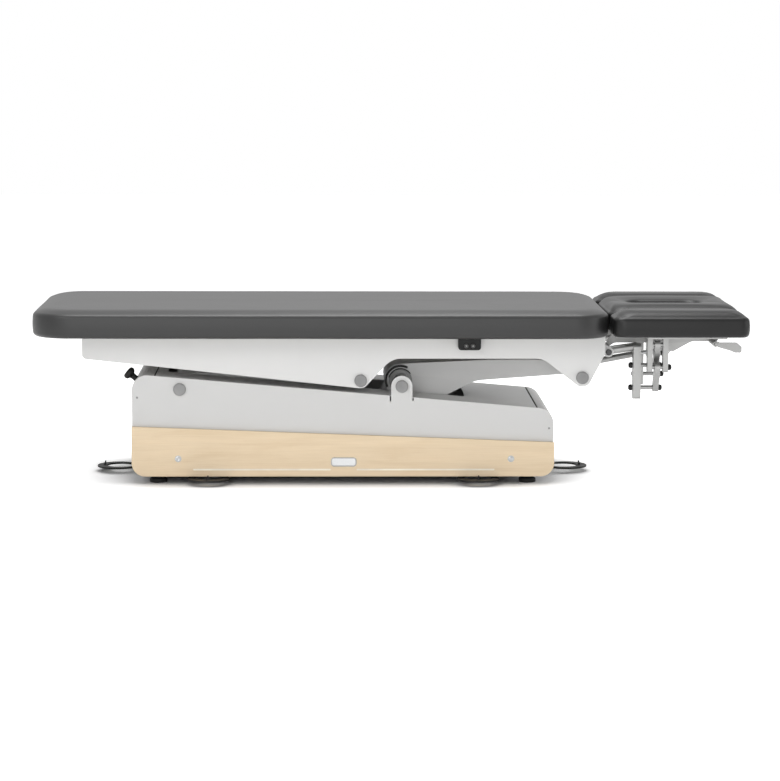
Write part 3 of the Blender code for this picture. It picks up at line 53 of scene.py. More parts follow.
# Sizes repeated from the CAD model, in metres
HALF_BASE = 0.235
PLATE = 0.006
INNER = HALF_BASE - PLATE - 0.0003
BASE_X0, BASE_X1 = -0.730, 0.462
BASE_Z = 0.0226
TOP_FOOT, TOP_HEAD = 0.3126, 0.2131
SLOPE = (TOP_HEAD - TOP_FOOT) / (BASE_X1 - BASE_X0)
LOW_CORNER, FOOT_CORNER, HEAD_CORNER = 0.038, 0.042, 0.045
SHEET = 0.003
LUG_R = 0.030
WOOD_FACE = 0.2473
AXLE_HOLE = 0.0123
A = Vector((-0.5955, 0, 0.2695))
B = Vector((0.0315, 0, 0.2780))
C = Vector((-0.0850, 0, 0.2945))
D = Vector((0.5420, 0, 0.3030))
FRAME_X0, FRAME_X1 = -0.869, 0.606
FRAME_TOP = 0.4214
SHARP = math.radians(35)


def lin(*srgb):
    """Linear colour from 0-255 sRGB values."""
    out = []
    for value in srgb:
        v = value / 255
        out.append(v / 12.92 if v <= 0.04045 else ((v + 0.055) / 1.055) ** 2.4)
    return tuple(out)


# Materials
class Mat:
    """A Principled material, with short names for the nodes that are used here."""

    SOCKETS = {"color": "Base Color", "rough": "Roughness", "metal": "Metallic",
               "spec": "Specular IOR Level", "coat": "Coat Weight", "coat_rough": "Coat Roughness"}

    def __init__(self, name):
        self.mat = bpy.data.materials.new(name)
        self.mat.use_nodes = True
        self.tree = self.mat.node_tree
        self.bsdf = self.tree.nodes["Principled BSDF"]
        self.where = self.add("ShaderNodeTexCoord").outputs["Object"]

    def add(self, kind, **props):
        node = self.tree.nodes.new(kind)
        for key, value in props.items():
            setattr(node, key, value)
        return node

    def link(self, out, into):
        self.tree.links.new(out, into)

    def set(self, **values):
        for key, value in values.items():
            self.bsdf.inputs[self.SOCKETS[key]].default_value = value

    def scaled(self, scale):
        node = self.add("ShaderNodeMapping")
        node.inputs["Scale"].default_value = scale
        self.link(self.where, node.inputs["Vector"])
        return node.outputs["Vector"]

    def noise(self, scale, detail=3.0, rough=0.5, vector=None, distortion=0.0):
        node = self.add("ShaderNodeTexNoise")
        node.inputs["Scale"].default_value = scale
        node.inputs["Detail"].default_value = detail
        node.inputs["Roughness"].default_value = rough
        node.inputs["Distortion"].default_value = distortion
        self.link(vector or self.where, node.inputs["Vector"])
        return node.outputs["Fac"]

    def cells(self, scale):
        node = self.add("ShaderNodeTexVoronoi", feature="F1")
        node.inputs["Scale"].default_value = scale
        self.link(self.where, node.inputs["Vector"])
        return node.outputs["Distance"]

    def ramp(self, fac, *stops):
        node = self.add("ShaderNodeValToRGB")
        band = node.color_ramp
        while len(band.elements) < len(stops):
            band.elements.new(0.5)
        for element, (at, colour) in zip(band.elements, stops):
            element.position = at
            element.color = (*colour, 1)
        self.link(fac, node.inputs["Fac"])
        return node.outputs["Color"]

    def span(self, fac, low, high, start=0.3, end=0.7):
        node = self.add("ShaderNodeMapRange")
        node.inputs["From Min"].default_value = start
        node.inputs["From Max"].default_value = end
        node.inputs["To Min"].default_value = low
        node.inputs["To Max"].default_value = high
        self.link(fac, node.inputs["Value"])
        return node.outputs["Result"]

    def mix(self, fac, a, b, blend="MIX"):
        node = self.add("ShaderNodeMix", data_type="RGBA", blend_type=blend)
        for socket, value in ((node.inputs[0], fac), (node.inputs[6], a), (node.inputs[7], b)):
            if isinstance(value, bpy.types.NodeSocket):
                self.link(value, socket)
            else:
                socket.default_value = value if isinstance(value, float) else (*value, 1)
        return node.outputs[2]

    def bump(self, height, strength, distance):
        node = self.add("ShaderNodeBump")
        node.inputs["Strength"].default_value = strength
        node.inputs["Distance"].default_value = distance
        self.link(height, node.inputs["Height"])
        return node.outputs["Normal"]

    def edge(self, low=0.52, high=0.58):
        """How far a point lies on an outer edge."""
        geo = self.add("ShaderNodeNewGeometry").outputs["Pointiness"]
        return self.span(geo, 0.0, 1.0, low, high)

    def finish(self, color, rough, normal):
        self.link(color, self.bsdf.inputs["Base Color"])
        self.link(rough, self.bsdf.inputs["Roughness"])
        self.link(normal, self.bsdf.inputs["Normal"])
        return self.mat


def shade(colour, factor):
    return tuple(min(1.0, c * factor) for c in colour)


def powder_coat(name, colour, rough=0.42):
    m = Mat(name)
    tone = m.ramp(m.noise(2.2, 2), (0.3, shade(colour, 0.985)), (0.7, shade(colour, 1.012)))
    peel = m.bump(m.noise(520, 2, 0.6), 0.10, 0.0004)
    return m.finish(tone, m.span(m.noise(38, 3), rough - 0.03, rough + 0.03), peel)


def leatherette(name, colour, rough, spec):
    m = Mat(name)
    m.set(spec=spec)
    tone = m.ramp(m.noise(3.0, 2, 0.5), (0.28, shade(colour, 0.98)), (0.72, shade(colour, 1.02)))
    cells = m.cells(760)
    pits = m.ramp(cells, (0.15, (1, 1, 1)), (0.60, (0.92, 0.92, 0.92)))
    grained = m.mix(1.0, tone, pits, "MULTIPLY")
    grain = m.bump(cells, 0.10, 0.0003)
    return m.finish(grained, m.span(m.noise(900, 2), rough - 0.02, rough + 0.02), grain)


def maple(name, pale, deep):
    m = Mat(name)
    m.set(coat=0.12, coat_rough=0.25)
    bands = m.noise(3.2, 5, 0.55, m.scaled((1.1, 9.0, 9.0)), 0.8)
    tone = m.ramp(bands, (0.30, deep), (0.50, pale), (0.72, shade(pale, 1.04)))
    streak = m.noise(9.0, 6, 0.65, m.scaled((0.9, 60, 60)), 0.3)
    fibre = m.ramp(streak, (0.34, (0.955, 0.935, 0.905)), (0.60, (1, 1, 1)))
    wood = m.mix(1.0, tone, fibre, "MULTIPLY")
    pores = m.noise(12, 3, 0.6, m.scaled((4, 190, 190)))
    dots = m.ramp(pores, (0.30, (0.92, 0.88, 0.83)), (0.42, (1, 1, 1)))
    wood = m.mix(0.55, wood, m.mix(1.0, wood, dots, "MULTIPLY"))
    return m.finish(wood, m.span(streak, 0.52, 0.40), m.bump(streak, 0.08, 0.0004))


def brushed(name, colour, rough, stretch=(8, 160, 160)):
    m = Mat(name)
    m.set(metal=1.0)
    lines = m.noise(14, 4, 0.6, m.scaled(stretch))
    tone = m.ramp(lines, (0.3, shade(colour, 0.90)), (0.7, shade(colour, 1.06)))
    worn = m.mix(m.edge(), tone, shade(colour, 1.15))
    return m.finish(worn, m.span(lines, rough - 0.08, rough + 0.10), m.bump(lines, 0.05, 0.0002))


def plastic(name, colour, rough=0.45, grit=900):
    m = Mat(name)
    m.set(spec=0.20)
    tone = m.ramp(m.noise(14, 3), (0.3, shade(colour, 0.85)), (0.7, shade(colour, 1.15)))
    worn = m.mix(m.edge(0.53, 0.62), tone, tuple(c + 0.03 for c in colour))
    gloss = m.span(m.noise(45, 3), rough - 0.08, rough + 0.08)
    return m.finish(worn, gloss, m.bump(m.noise(grit, 2), 0.10, 0.0003))


PAINT = powder_coat("grey_powder_coat", lin(209, 209, 208))
# The same grey powder coat made lighter: painted light for the frame panels and the top cover
PAINT_LIT = powder_coat("grey_powder_coat_lit", lin(223, 223, 222))
DARK = powder_coat("dark_steel_paint", lin(62, 62, 64), 0.5)
PAD = leatherette("leatherette_main", lin(36, 36, 36), 0.43, 0.46)
HEAD = leatherette("leatherette_head", lin(12, 12, 12), 0.40, 0.32)
WOOD = maple("maple_panel", lin(231, 210, 178), lin(225, 202, 168))
PLY = maple("plywood", lin(118, 115, 110), lin(100, 97, 93))
ALU = brushed("satin_aluminium", lin(148, 148, 147), 0.42)
STEEL = brushed("plated_steel", lin(172, 173, 174), 0.32, (90, 90, 90))
BLACK = plastic("black_moulded", lin(22, 22, 22))
PEDAL = plastic("black_pedal", lin(30, 30, 30), 0.5)
RUBBER = plastic("black_rubber", lin(30, 30, 30), 0.7, 500)
CAP = plastic("grey_cap", lin(152, 152, 152), 0.42)
INLAY = plastic("pale_inlay", lin(246, 234, 218), 0.5)
KEY = plastic("grey_key", lin(92, 92, 92), 0.4)
MARK = plastic("pale_mark", lin(175, 175, 172), 0.5)
BY_SLOT = {"grey_paint": PAINT, "dark_paint": DARK, "aluminium": ALU, "steel": STEEL, "black_plastic": BLACK,
           "grey_plastic": CAP, "rubber": RUBBER, "maple": WOOD, "plywood": PLY}


# Mesh helpers
def show(name, mesh, mat, body, nodes=(), sharp=SHARP):
    """A visible piece that rides on a body, and may stand for CAD nodes."""
    ob = bpy.data.objects.new(name, mesh)
    SHOWN.objects.link(ob)
    mesh.materials.clear()
    mesh.materials.append(mat)
    mesh.shade_smooth()
    mesh.set_sharp_from_angle(angle=sharp)
    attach(ob, body)
    if nodes:
        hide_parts(*nodes)
    return ob


def to_mesh(bm, name):
    bmesh.ops.recalc_face_normals(bm, faces=bm.faces)
    mesh = bpy.data.meshes.new(name)
    bm.to_mesh(mesh)
    bm.free()
    return mesh


def soften(ob, width, segments=3):
    bevel = ob.modifiers.new("soft_edges", "BEVEL")
    bevel.width = width
    bevel.segments = segments
    bevel.limit_method = "ANGLE"
    bevel.angle_limit = math.radians(40)
    bevel.harden_normals = True


def dress(node, mat=None):
    """A finer stand-in for a CAD node: welded, cleaned, with softened edges."""
    bm = bmesh.new()
    bm.from_mesh(NODES[node].data)
    bmesh.ops.remove_doubles(bm, verts=bm.verts, dist=0.00001)
    bmesh.ops.dissolve_limit(bm, angle_limit=math.radians(0.6), verts=bm.verts, edges=bm.edges)
    slot = SLOT_OF[node]
    ob = show("dressed_" + node, to_mesh(bm, node), mat or BY_SLOT[slot], BODY_OF[node], [node])
    soften(ob, 0.0007, 2)


def arc(centre, radius, start, end, step=5):
    count = max(3, math.ceil(abs(end - start) / step))
    turns = [math.radians(start + (end - start) * i / count) for i in range(count + 1)]
    return [(centre[0] + radius * math.cos(t), centre[1] + radius * math.sin(t)) for t in turns]


def circle(centre, radius, sides=64):
    return arc(centre, radius, 0, 360, 360 / sides)[:-1]


def rounded(corners, step=5):
    """Outline through corners of (u, v, radius)."""
    outline = []
    count = len(corners)
    for i in range(count):
        here = Vector(corners[i][:2])
        back = (Vector(corners[i - 1][:2]) - here).normalized()
        ahead = (Vector(corners[(i + 1) % count][:2]) - here).normalized()
        radius = corners[i][2]
        half = back.angle(ahead) / 2
        if radius <= 0 or half > math.radians(89.5):
            outline.append(tuple(here))
            continue
        centre = here + (back + ahead).normalized() * (radius / math.sin(half))
        first = here + back * (radius / math.tan(half)) - centre
        turn = math.pi - 2 * half
        sign = 1 if back.cross(ahead) < 0 else -1
        steps = max(2, math.ceil(math.degrees(turn) / step))
        for k in range(steps + 1):
            outline.append(tuple(centre + Matrix.Rotation(sign * turn * k / steps, 2) @ first))
    return outline


def rectangle(u0, u1, v0, v1, radius):
    return rounded([(u0, v0, radius), (u1, v0, radius), (u1, v1, radius), (u0, v1, radius)])


def flat(lines, thick):
    """Solid plate in the XY plane from outlines, the first one outside and the rest holes."""
    curve = bpy.data.curves.new("outline", "CURVE")
    curve.dimensions = "2D"
    curve.fill_mode = "BOTH"
    curve.extrude = thick / 2
    for line in lines:
        spline = curve.splines.new("POLY")
        spline.points.add(len(line) - 1)
        for point, (u, v) in zip(spline.points, line):
            point.co = (u, v, 0, 1)
        spline.use_cyclic_u = True
    guide = bpy.data.objects.new("outline", curve)
    SCENE.collection.objects.link(guide)
    bpy.context.view_layer.update()
    mesh = bpy.data.meshes.new_from_object(guide.evaluated_get(bpy.context.evaluated_depsgraph_get()))
    bpy.data.objects.remove(guide, do_unlink=True)
    bpy.data.curves.remove(curve)
    bm = bmesh.new()
    bm.from_mesh(mesh)
    bpy.data.meshes.remove(mesh)
    bmesh.ops.remove_doubles(bm, verts=bm.verts, dist=0.000001)
    bmesh.ops.dissolve_limit(bm, angle_limit=math.radians(0.5), verts=bm.verts, edges=bm.edges)
    return bm


def upright(name, lines, y0, y1):
    """Solid plate from outlines in the XZ plane, between two values of y."""
    bm = flat(lines, abs(y1 - y0))
    turn = Matrix.Translation((0, (y0 + y1) / 2, 0)) @ Matrix.Rotation(math.pi / 2, 4, "X")
    bmesh.ops.transform(bm, matrix=turn, verts=bm.verts)
    return to_mesh(bm, name)


def facing(direction):
    return Vector(direction).to_track_quat("Z", "Y").to_matrix().to_4x4()


def lathe(name, profile, where, direction, steps=64):
    """Turned piece: profile of (radius, height) from top to bottom, about a direction."""
    bm = bmesh.new()
    rings = []
    for r, z in profile:
        if r < 1e-7:
            rings.append([bm.verts.new((0, 0, z))])
            continue
        turns = [2 * math.pi * i / steps for i in range(steps)]
        rings.append([bm.verts.new((r * math.cos(t), r * math.sin(t), z)) for t in turns])
    for low, high in zip(rings, rings[1:]):
        for i in range(steps):
            k = (i + 1) % steps
            corners = [low[i % len(low)], low[k % len(low)], high[k % len(high)], high[i % len(high)]]
            unique = list(dict.fromkeys(corners))
            if len(unique) > 2:
                bm.faces.new(unique)
    bmesh.ops.transform(bm, matrix=Matrix.Translation(where) @ facing(direction), verts=bm.verts)
    return to_mesh(bm, name)


def box_tool(low, high):
    bm = bmesh.new()
    bmesh.ops.create_cube(bm, size=1)
    low, high = Vector(low), Vector(high)
    place = Matrix.Translation((low + high) / 2) @ Matrix.Diagonal((*(high - low), 1))
    bmesh.ops.transform(bm, matrix=place, verts=bm.verts)
    return bm


def carve(ob, bm):
    """Cut the shape of bm out of a piece."""
    tool = bpy.data.objects.new("tool", to_mesh(bm, "tool"))
    SCENE.collection.objects.link(tool)
    cut = ob.modifiers.new("cut", "BOOLEAN")
    cut.operation = "DIFFERENCE"
    cut.solver = "EXACT"
    cut.object = tool
    bpy.context.view_layer.update()
    mesh = bpy.data.meshes.new_from_object(ob.evaluated_get(bpy.context.evaluated_depsgraph_get()))
    ob.modifiers.remove(cut)
    ob.data = mesh
    bpy.data.objects.remove(tool, do_unlink=True)
    mesh.shade_smooth()
    mesh.set_sharp_from_angle(angle=SHARP)


def base_top(x, inset=0.0):
    """Height of the sloping top of the base, or of a line below it."""
    return TOP_FOOT + SLOPE * (x - BASE_X0) - inset * math.sqrt(1 + SLOPE**2)


# Base side plates, wood panels and what is fixed to them
SLIT, SLIT_DEEP = 0.0040, 0.016
BOLT_HOLE = 0.0033
BOLTS = [(-0.600, BASE_Z + 0.0505), (0.341, BASE_Z + 0.0505)]
BOLT_FORM = [(0, 0.0016), (0.0022, 0.0016), (0.0028, 0.0034), (0.0050, 0.0042), (0.0066, 0.0034),
             (0.0073, 0.0016), (0.0074, 0.0012), (0.0090, 0.0011), (0.0093, 0.0007), (0.0093, 0),
             (0.0030, 0), (0.0030, -0.018), (0, -0.018)]
SCREWS = ((BASE_X0 + 0.0145, 0.2455, "foot"), (BASE_X1 - 0.0128, 0.1585, "head"))
SCREW_FORM = [(0, 0.0010), (0.0011, 0.0010), (0.0015, 0.0016), (0.0026, 0.0010), (0.0030, 0),
              (0.0030, -0.002), (0, -0.002)]
INLAYS = ((-0.558, -0.1690, "foot"), (-0.0960, 0.2945, "head"))
INLAY_Z0, INLAY_Z1, INLAY_R = 0.0398, 0.0449, 0.0025


def side_plate_line():
    """Rounded ends, and a pivot lug with relief slits at its foot."""
    left, right = B.x - LUG_R, B.x + LUG_R
    corners = [
        (BASE_X0, BASE_Z, LOW_CORNER),
        (BASE_X0, TOP_FOOT, FOOT_CORNER),
        (left - SLIT, base_top(left), 0.0006),
        (left - SLIT, base_top(left) - SLIT_DEEP, 0.001),
        (left, base_top(left) - SLIT_DEEP, 0.001),
    ]
    corners += [(u, v, 0) for u, v in arc((B.x, B.z), LUG_R, 180, 0)]
    corners += [
        (right, base_top(right) - SLIT_DEEP * 0.6, 0.001),
        (right + SLIT, base_top(right) - SLIT_DEEP * 0.6, 0.001),
        (right + SLIT, base_top(right), 0.0006),
        (BASE_X1, TOP_HEAD, HEAD_CORNER),
        (BASE_X1, BASE_Z, LOW_CORNER),
    ]
    return rounded(corners)


def wood_line():
    x0, x1 = BASE_X0 - 0.0012, BASE_X1 + 0.0018
    z0, z1 = BASE_Z + 0.14161, BASE_Z + 0.09729
    return rounded([(x0, BASE_Z, LOW_CORNER), (x0, z0, 0.003), (x1, z1, 0.003), (x1, BASE_Z, LOW_CORNER)])


axle_holes = [circle((p.x, p.z), AXLE_HOLE) for p in (A, B)]
bolt_holes = [circle(p, BOLT_HOLE, 24) for p in BOLTS]
for side, label in SIDES:
    lines = [side_plate_line()] + axle_holes + bolt_holes
    mesh = upright("side", lines, side * (HALF_BASE - PLATE), side * HALF_BASE)
    ob = show("base_side_" + label, mesh, PAINT, "base", ["base_side_plate_" + label])
    soften(ob, 0.0012)
    mesh = upright("wood", [wood_line()] + bolt_holes, side * (HALF_BASE + 0.0003), side * WOOD_FACE)
    ob = show("wood_side_" + label, mesh, WOOD, "base", ["wood_panel_" + label])
    soften(ob, 0.0022, 4)
    face = side * (WOOD_FACE + 0.0003)
    for (x, z), end in zip(BOLTS, ("foot", "head")):
        mesh = lathe("bolt", BOLT_FORM, (x, face, z), (0, side, 0), 40)
        name = end + "_" + label
        show("bolt_" + name, mesh, STEEL, "base", ["panel_bolt_" + name])
    for x, z, end in SCREWS:
        mesh = lathe("screw", SCREW_FORM, (x, side * HALF_BASE, z), (0, side, 0), 24)
        show("cover_screw_" + end + "_" + label, mesh, CAP, "base")
    for x0, x1, end in INLAYS:
        line = rectangle(x0, x1, INLAY_Z0, INLAY_Z1, INLAY_R)
        mesh = upright("inlay", [line], side * (WOOD_FACE - 0.001), side * (WOOD_FACE + 0.0004))
        soften(show("inlay_strip_" + end + "_" + label, mesh, INLAY, "base"), 0.0002, 2)

# Blank badge: a plate with a raised rim
BADGE_RIM = 0.003
x0, x1, z0, z1 = -0.1685, -0.0965, 0.0511, 0.0771
rim = rectangle(x0, x1, z0, z1, 0.009)
well = rectangle(x0 + BADGE_RIM, x1 - BADGE_RIM, z0 + BADGE_RIM, z1 - BADGE_RIM, 0.006)
y = -(WOOD_FACE + 0.0003)
ob = show("badge_rim", upright("badge", [rim, well], y, y - 0.0016), ALU, "base", ["badge_plate"])
soften(ob, 0.0005)
ob = show("badge_face", upright("badge", [well], y, y - 0.0009), STEEL, "base")
soften(ob, 0.0002, 2)


# Top cover and end caps: bent sheet with an open seam between them, measured from the base's ends
CAP_FOOT, GASKET_FOOT, COVER_FOOT = 0.0615, 0.0632, 0.0657
CAP_HEAD, GASKET_HEAD, COVER_HEAD = 0.0436, 0.0454, 0.0486
COVER_SLOT = (-0.6355, 0.2155, -0.112, 0.112, 0.012)


def strip(outer, inner, name):
    return upright(name, [outer + inner[::-1]], -INNER, INNER)


def end_cap(head):
    """Outer and inner line of the sheet that closes one end of the base."""
    lines = []
    for inset in (0.0, SHEET):
        x0, x1 = BASE_X0 + inset, BASE_X1 - inset
        low = BASE_Z + inset
        if head:
            seam = BASE_X1 - CAP_HEAD
            path = [(seam, base_top(seam, inset), 0), (x1, base_top(x1, inset), HEAD_CORNER - inset),
                    (x1, low, LOW_CORNER - inset), (BASE_X1 - LOW_CORNER, low, 0)]
        else:
            seam = BASE_X0 + CAP_FOOT
            path = [(BASE_X0 + LOW_CORNER, low, 0), (x0, low, LOW_CORNER - inset),
                    (x0, base_top(x0, inset), FOOT_CORNER - inset), (seam, base_top(seam, inset), 0)]
        full = rounded(path + [(path[-1][0], -1, 0), (path[0][0], -1, 0)])
        lines.append([p for p in full if p[1] > -0.5])
    return lines


KNOB_TILT = math.radians(40)
KNOB_DIR = Vector((-math.cos(KNOB_TILT), 0, math.sin(KNOB_TILT)))
KNOB_AT = Vector((-0.720404, -0.1887, 0.294284))
KNOB_HOLE = 0.0091
INLET_LOW = (BASE_X0 - 0.01, 0.1047, 0.1003)
INLET_HIGH = (BASE_X0 + 0.01, 0.1353, 0.1249)
cap = show("end_cap_foot", strip(*end_cap(False), "cap"), PAINT, "base", ["base_end_cap_foot"])
bm = bmesh.new()
bmesh.ops.create_cone(bm, cap_ends=True, segments=40, radius1=KNOB_HOLE, radius2=KNOB_HOLE, depth=0.06)
bmesh.ops.transform(bm, matrix=Matrix.Translation(KNOB_AT) @ facing(KNOB_DIR), verts=bm.verts)
carve(cap, bm)
carve(cap, box_tool(INLET_LOW, INLET_HIGH))
soften(cap, 0.0008, 2)
cap = show("end_cap_head", strip(*end_cap(True), "cap"), PAINT, "base", ["base_end_cap_head"])
soften(cap, 0.0008, 2)

x0, x1 = BASE_X0 + COVER_FOOT, BASE_X1 - COVER_HEAD
outer = [(x0, base_top(x0)), (x1, base_top(x1))]
inner = [(x0, base_top(x0, SHEET)), (x1, base_top(x1, SHEET))]
# the top cover takes the lighter copy of the grey paint: painted light
cover = show("top_cover", strip(outer, inner, "cover"), PAINT_LIT, "base", ["base_top_cover"])
bm = flat([rectangle(*COVER_SLOT)], 0.4)
bmesh.ops.translate(bm, verts=bm.verts, vec=(0, 0, 0.25))
carve(cover, bm)
soften(cover, 0.0008, 2)
GASKET_LOW, GASKET_HIGH = 0.0030, 0.0022
for x, end in ((BASE_X0 + GASKET_FOOT, "foot"), (BASE_X1 - GASKET_HEAD, "head")):
    line = []
    for u, inset in ((-0.004, GASKET_LOW), (0.004, GASKET_LOW), (0.0020, GASKET_HIGH), (-0.0016, GASKET_HIGH)):
        line.append((x + u, base_top(x + u, inset)))
    show("seam_gasket_" + end, upright("gasket", [line], -INNER, INNER), RUBBER, "base")


# Pivot axles with chamfered caps
def axle(name, point, body, node):
    end = HALF_BASE + 0.0003
    half = [(0, end + 0.0080), (0.0146, end + 0.0079), (0.0160, end + 0.0074), (0.0174, end + 0.0060),
            (0.0178, end + 0.0048), (0.0178, end + 0.0004), (0.0174, end), (0.0120, end)]
    mesh = lathe(name, half + [(r, -z) for r, z in half[::-1]], point, (0, 1, 0), 72)
    show(name, mesh, CAP, body, [node])


axle("pivot_foot_lower", A, "base", "axle_foot_lower")
axle("pivot_head_lower", B, "base", "axle_head_lower")
axle("pivot_foot_upper", C, "top", "axle_foot_upper")
axle("pivot_head_upper", D, "top", "axle_head_upper")

# Levelling feet: rubber disc, nut and stud
FOOT_FORM = [(0, 0.0466), (0.0044, 0.0466), (0.0050, 0.0460), (0.0050, 0.0223), (0.0096, 0.0223),
             (0.0100, 0.0215), (0.0100, 0.0138), (0.0190, 0.0130), (0.0222, 0.0124), (0.0240, 0.0106),
             (0.0245, 0.0085), (0.0245, 0.0018), (0.0238, 0.0004), (0.0225, 0), (0, 0)]
FOOT_Y = 0.199
for x, end in ((-0.6588, "foot"), (0.3908, "head")):
    for side, label in SIDES:
        mesh = lathe("foot", FOOT_FORM, (x, side * FOOT_Y, 0), (0, 0, 1), 48)
        name = end + "_" + label
        show("foot_" + name, mesh, RUBBER, "base", ["levelling_foot_" + name])

# Lock-out knob
KNOB_FORM = [(0, 0.0340), (0.0090, 0.0338), (0.0138, 0.0328), (0.0166, 0.0306), (0.0180, 0.0270),
             (0.0178, 0.0230), (0.0166, 0.0196), (0.0138, 0.0172), (0.0108, 0.0156), (0.0092, 0.0142),
             (0.0085, 0.0120), (0.0085, 0.0010), (0.0085, -0.0135), (0.0080, -0.0140), (0, -0.0140)]
mesh = lathe("knob", KNOB_FORM, KNOB_AT, KNOB_DIR, 56)
show("lockout_grip", mesh, BLACK, "lockout_knob", ["lockout_knob"])

# Ring pedals: thin plate with a wide outer crescent, a pointed fin and a shaft
PEDAL_REACH, PEDAL_R, PEDAL_HOLE, PEDAL_SHIFT = 0.105, 0.060, 0.041, 0.009
PEDAL_NECK, PEDAL_TAIL = 0.015, -0.004
PEDAL_Z, PEDAL_OUT = 0.0155, 0.2423
SHAFT_FORM = [(0, 0.033), (0.0034, 0.033), (0.0040, 0.0324), (0.0040, -0.0324), (0.0034, -0.033), (0, -0.033)]


def pedal(label, spot, out):
    body = "foot_pedal_" + label
    hole_at = PEDAL_REACH - PEDAL_SHIFT
    lean = math.degrees(math.asin(PEDAL_NECK / PEDAL_R))
    line = arc((PEDAL_REACH, 0), PEDAL_R, -180 + lean, 180 - lean, 4)
    line += [(PEDAL_TAIL, PEDAL_NECK), (PEDAL_TAIL, -PEDAL_NECK)]
    bm = flat([line, circle((hole_at, 0), PEDAL_HOLE, 80)], 0.005)
    turn = math.atan2(out[1], out[0])
    pivot = Vector((spot[0] - out[0] * PEDAL_REACH, spot[1] - out[1] * PEDAL_REACH, PEDAL_Z))
    place = Matrix.Translation(pivot) @ Matrix.Rotation(turn, 4, "Z")
    bmesh.ops.transform(bm, matrix=place, verts=bm.verts)
    soften(show("pedal_ring_" + label, to_mesh(bm, "pedal"), PEDAL, body, [body]), 0.0009)
    root = hole_at + PEDAL_HOLE + 0.002
    fin = rounded([(root, 0.001, 0), (root + 0.009, 0.001, 0), (root + 0.0034, 0.0150, 0.0008),
                   (root + 0.001, 0.0150, 0.0008)])
    bm = flat([fin], 0.004)
    bmesh.ops.transform(bm, matrix=place @ Matrix.Rotation(math.pi / 2, 4, "X"), verts=bm.verts)
    soften(show("pedal_fin_" + label, to_mesh(bm, "fin"), PEDAL, body), 0.0006, 2)
    across = Matrix.Rotation(turn, 3, "Z") @ Vector((0, 1, 0))
    show("pedal_shaft_" + label, lathe("shaft", SHAFT_FORM, pivot, across, 24), STEEL, body)


pedal("foot_end", (BASE_X0 - 0.0577, 0), (-1, 0))
pedal("head_end", (BASE_X1 + 0.0577, 0), (1, 0))
for side, label in SIDES:
    pedal(label + "_foot", (-0.515, side * PEDAL_OUT), (0, side))
    pedal(label + "_head", (0.248, side * PEDAL_OUT), (0, side))


# Side panels of the top frame
def frame_line():
    c, d = (C.x, C.z), (D.x, D.z)
    c_lobe, d_lobe, bend = 0.022, 0.026, 0.060
    arch = FRAME_TOP - 0.0644
    foot = FRAME_TOP - 0.065
    away = math.degrees(math.atan2(foot - c[1], FRAME_X0 - c[0]))
    touch = away + math.degrees(math.acos(c_lobe / math.dist((FRAME_X0, foot), c)))
    line = [(FRAME_X0, FRAME_TOP, 0.0006), (FRAME_X0, foot, 0.014)]
    line += [(u, v, 0) for u, v in arc(c, c_lobe, touch, 317, 5)]
    u, v = line[-1][:2]
    line.append((u + (arch - v) / math.tan(math.radians(47)), arch, bend))
    lobe = arc(d, d_lobe, -128, -27, 5)
    u, v = lobe[0]
    line.append((u - (arch - v) / math.tan(math.radians(38)), arch, bend))
    line += [(p, q, 0) for p, q in lobe]
    u, v = lobe[-1]
    line.append((FRAME_X1, v + (FRAME_X1 - u) * math.tan(math.radians(63)), 0.014))
    line.append((FRAME_X1, FRAME_TOP, 0.0006))
    return rounded(line)


frame_holes = [circle((p.x, p.z), AXLE_HOLE) for p in (C, D)]
# the frame panels take the lighter copy of the grey paint: painted light
for side, label in SIDES:
    mesh = upright("panel", [frame_line()] + frame_holes, side * (HALF_BASE - PLATE), side * HALF_BASE)
    ob = show("frame_side_" + label, mesh, PAINT_LIT, "top", ["frame_panel_" + label])
    soften(ob, 0.0012)

# Switch box: rounded case with two keys, each with a raised arrow
KEY_Z, KEY_WELL = 0.3964, 0.0066
KEYS = ((0.2113, "down", -1), (0.2303, "up", 1))
KEY_FORM = [(0, 0.0019), (0.0030, 0.0020), (0.0047, 0.0024), (0.0055, 0.0020), (0.0060, 0.0012),
            (0.0060, -0.0080), (0, -0.0080)]
SWITCH_FACE, SWITCH_SPLIT, SWITCH_BACK = -0.2653, -0.2653 + 0.0112, -0.2353
x0, x1, z0, z1 = 0.189, 0.2526, 0.3844, 0.4184
line = rounded([(x0, z0, 0.008), (x1, z0, 0.008), (x1, z1, 0.003), (x0, z1, 0.003)])
wells = [circle((x, KEY_Z), KEY_WELL, 48) for x, _, _ in KEYS]
mesh = upright("case", [line] + wells, SWITCH_FACE, SWITCH_SPLIT)
soften(show("switch_case", mesh, BLACK, "top", ["switch_box"]), 0.0010)
mesh = upright("case", [line], SWITCH_SPLIT, SWITCH_BACK)
soften(show("switch_back", mesh, BLACK, "top"), 0.0008, 2)
for x, label, way in KEYS:
    body = "button_" + label
    mesh = lathe("key", KEY_FORM, (x, SWITCH_FACE, KEY_Z), (0, -1, 0), 48)
    show("key_" + label, mesh, KEY, body, [body])
    tip = KEY_Z + way * 0.0028
    base = KEY_Z - way * 0.0018
    mark = rounded([(x - 0.0030, base, 0.0003), (x + 0.0030, base, 0.0003), (x, tip, 0.0003)], 20)
    mesh = upright("mark", [mark], SWITCH_FACE - 0.0016, SWITCH_FACE - 0.0027)
    soften(show("key_mark_" + label, mesh, MARK, body), 0.0001, 2)

# Pieces whose CAD shape is right, with softened edges
for node in ("base_tray", "actuator_housing", "actuator_rod", "control_unit", "mains_inlet", "foot_arm",
             "head_arm", "cross_tube_foot", "cross_tube_mid", "cross_tube_head", "main_pad_board",
             "head_frame", "release_lever", "gas_cylinder", "gas_rod", "arm_carrier_front",
             "arm_carrier_rear", "arm_link_lower_front", "arm_link_lower_rear", "arm_link_upper_front",
             "arm_link_upper_rear", "arm_hanger_front", "arm_hanger_rear"):
    dress(node)
# the hinge pin takes the dark paint in place of steel: painted shade where that spot lies in shadow
dress("head_hinge_pin", DARK)

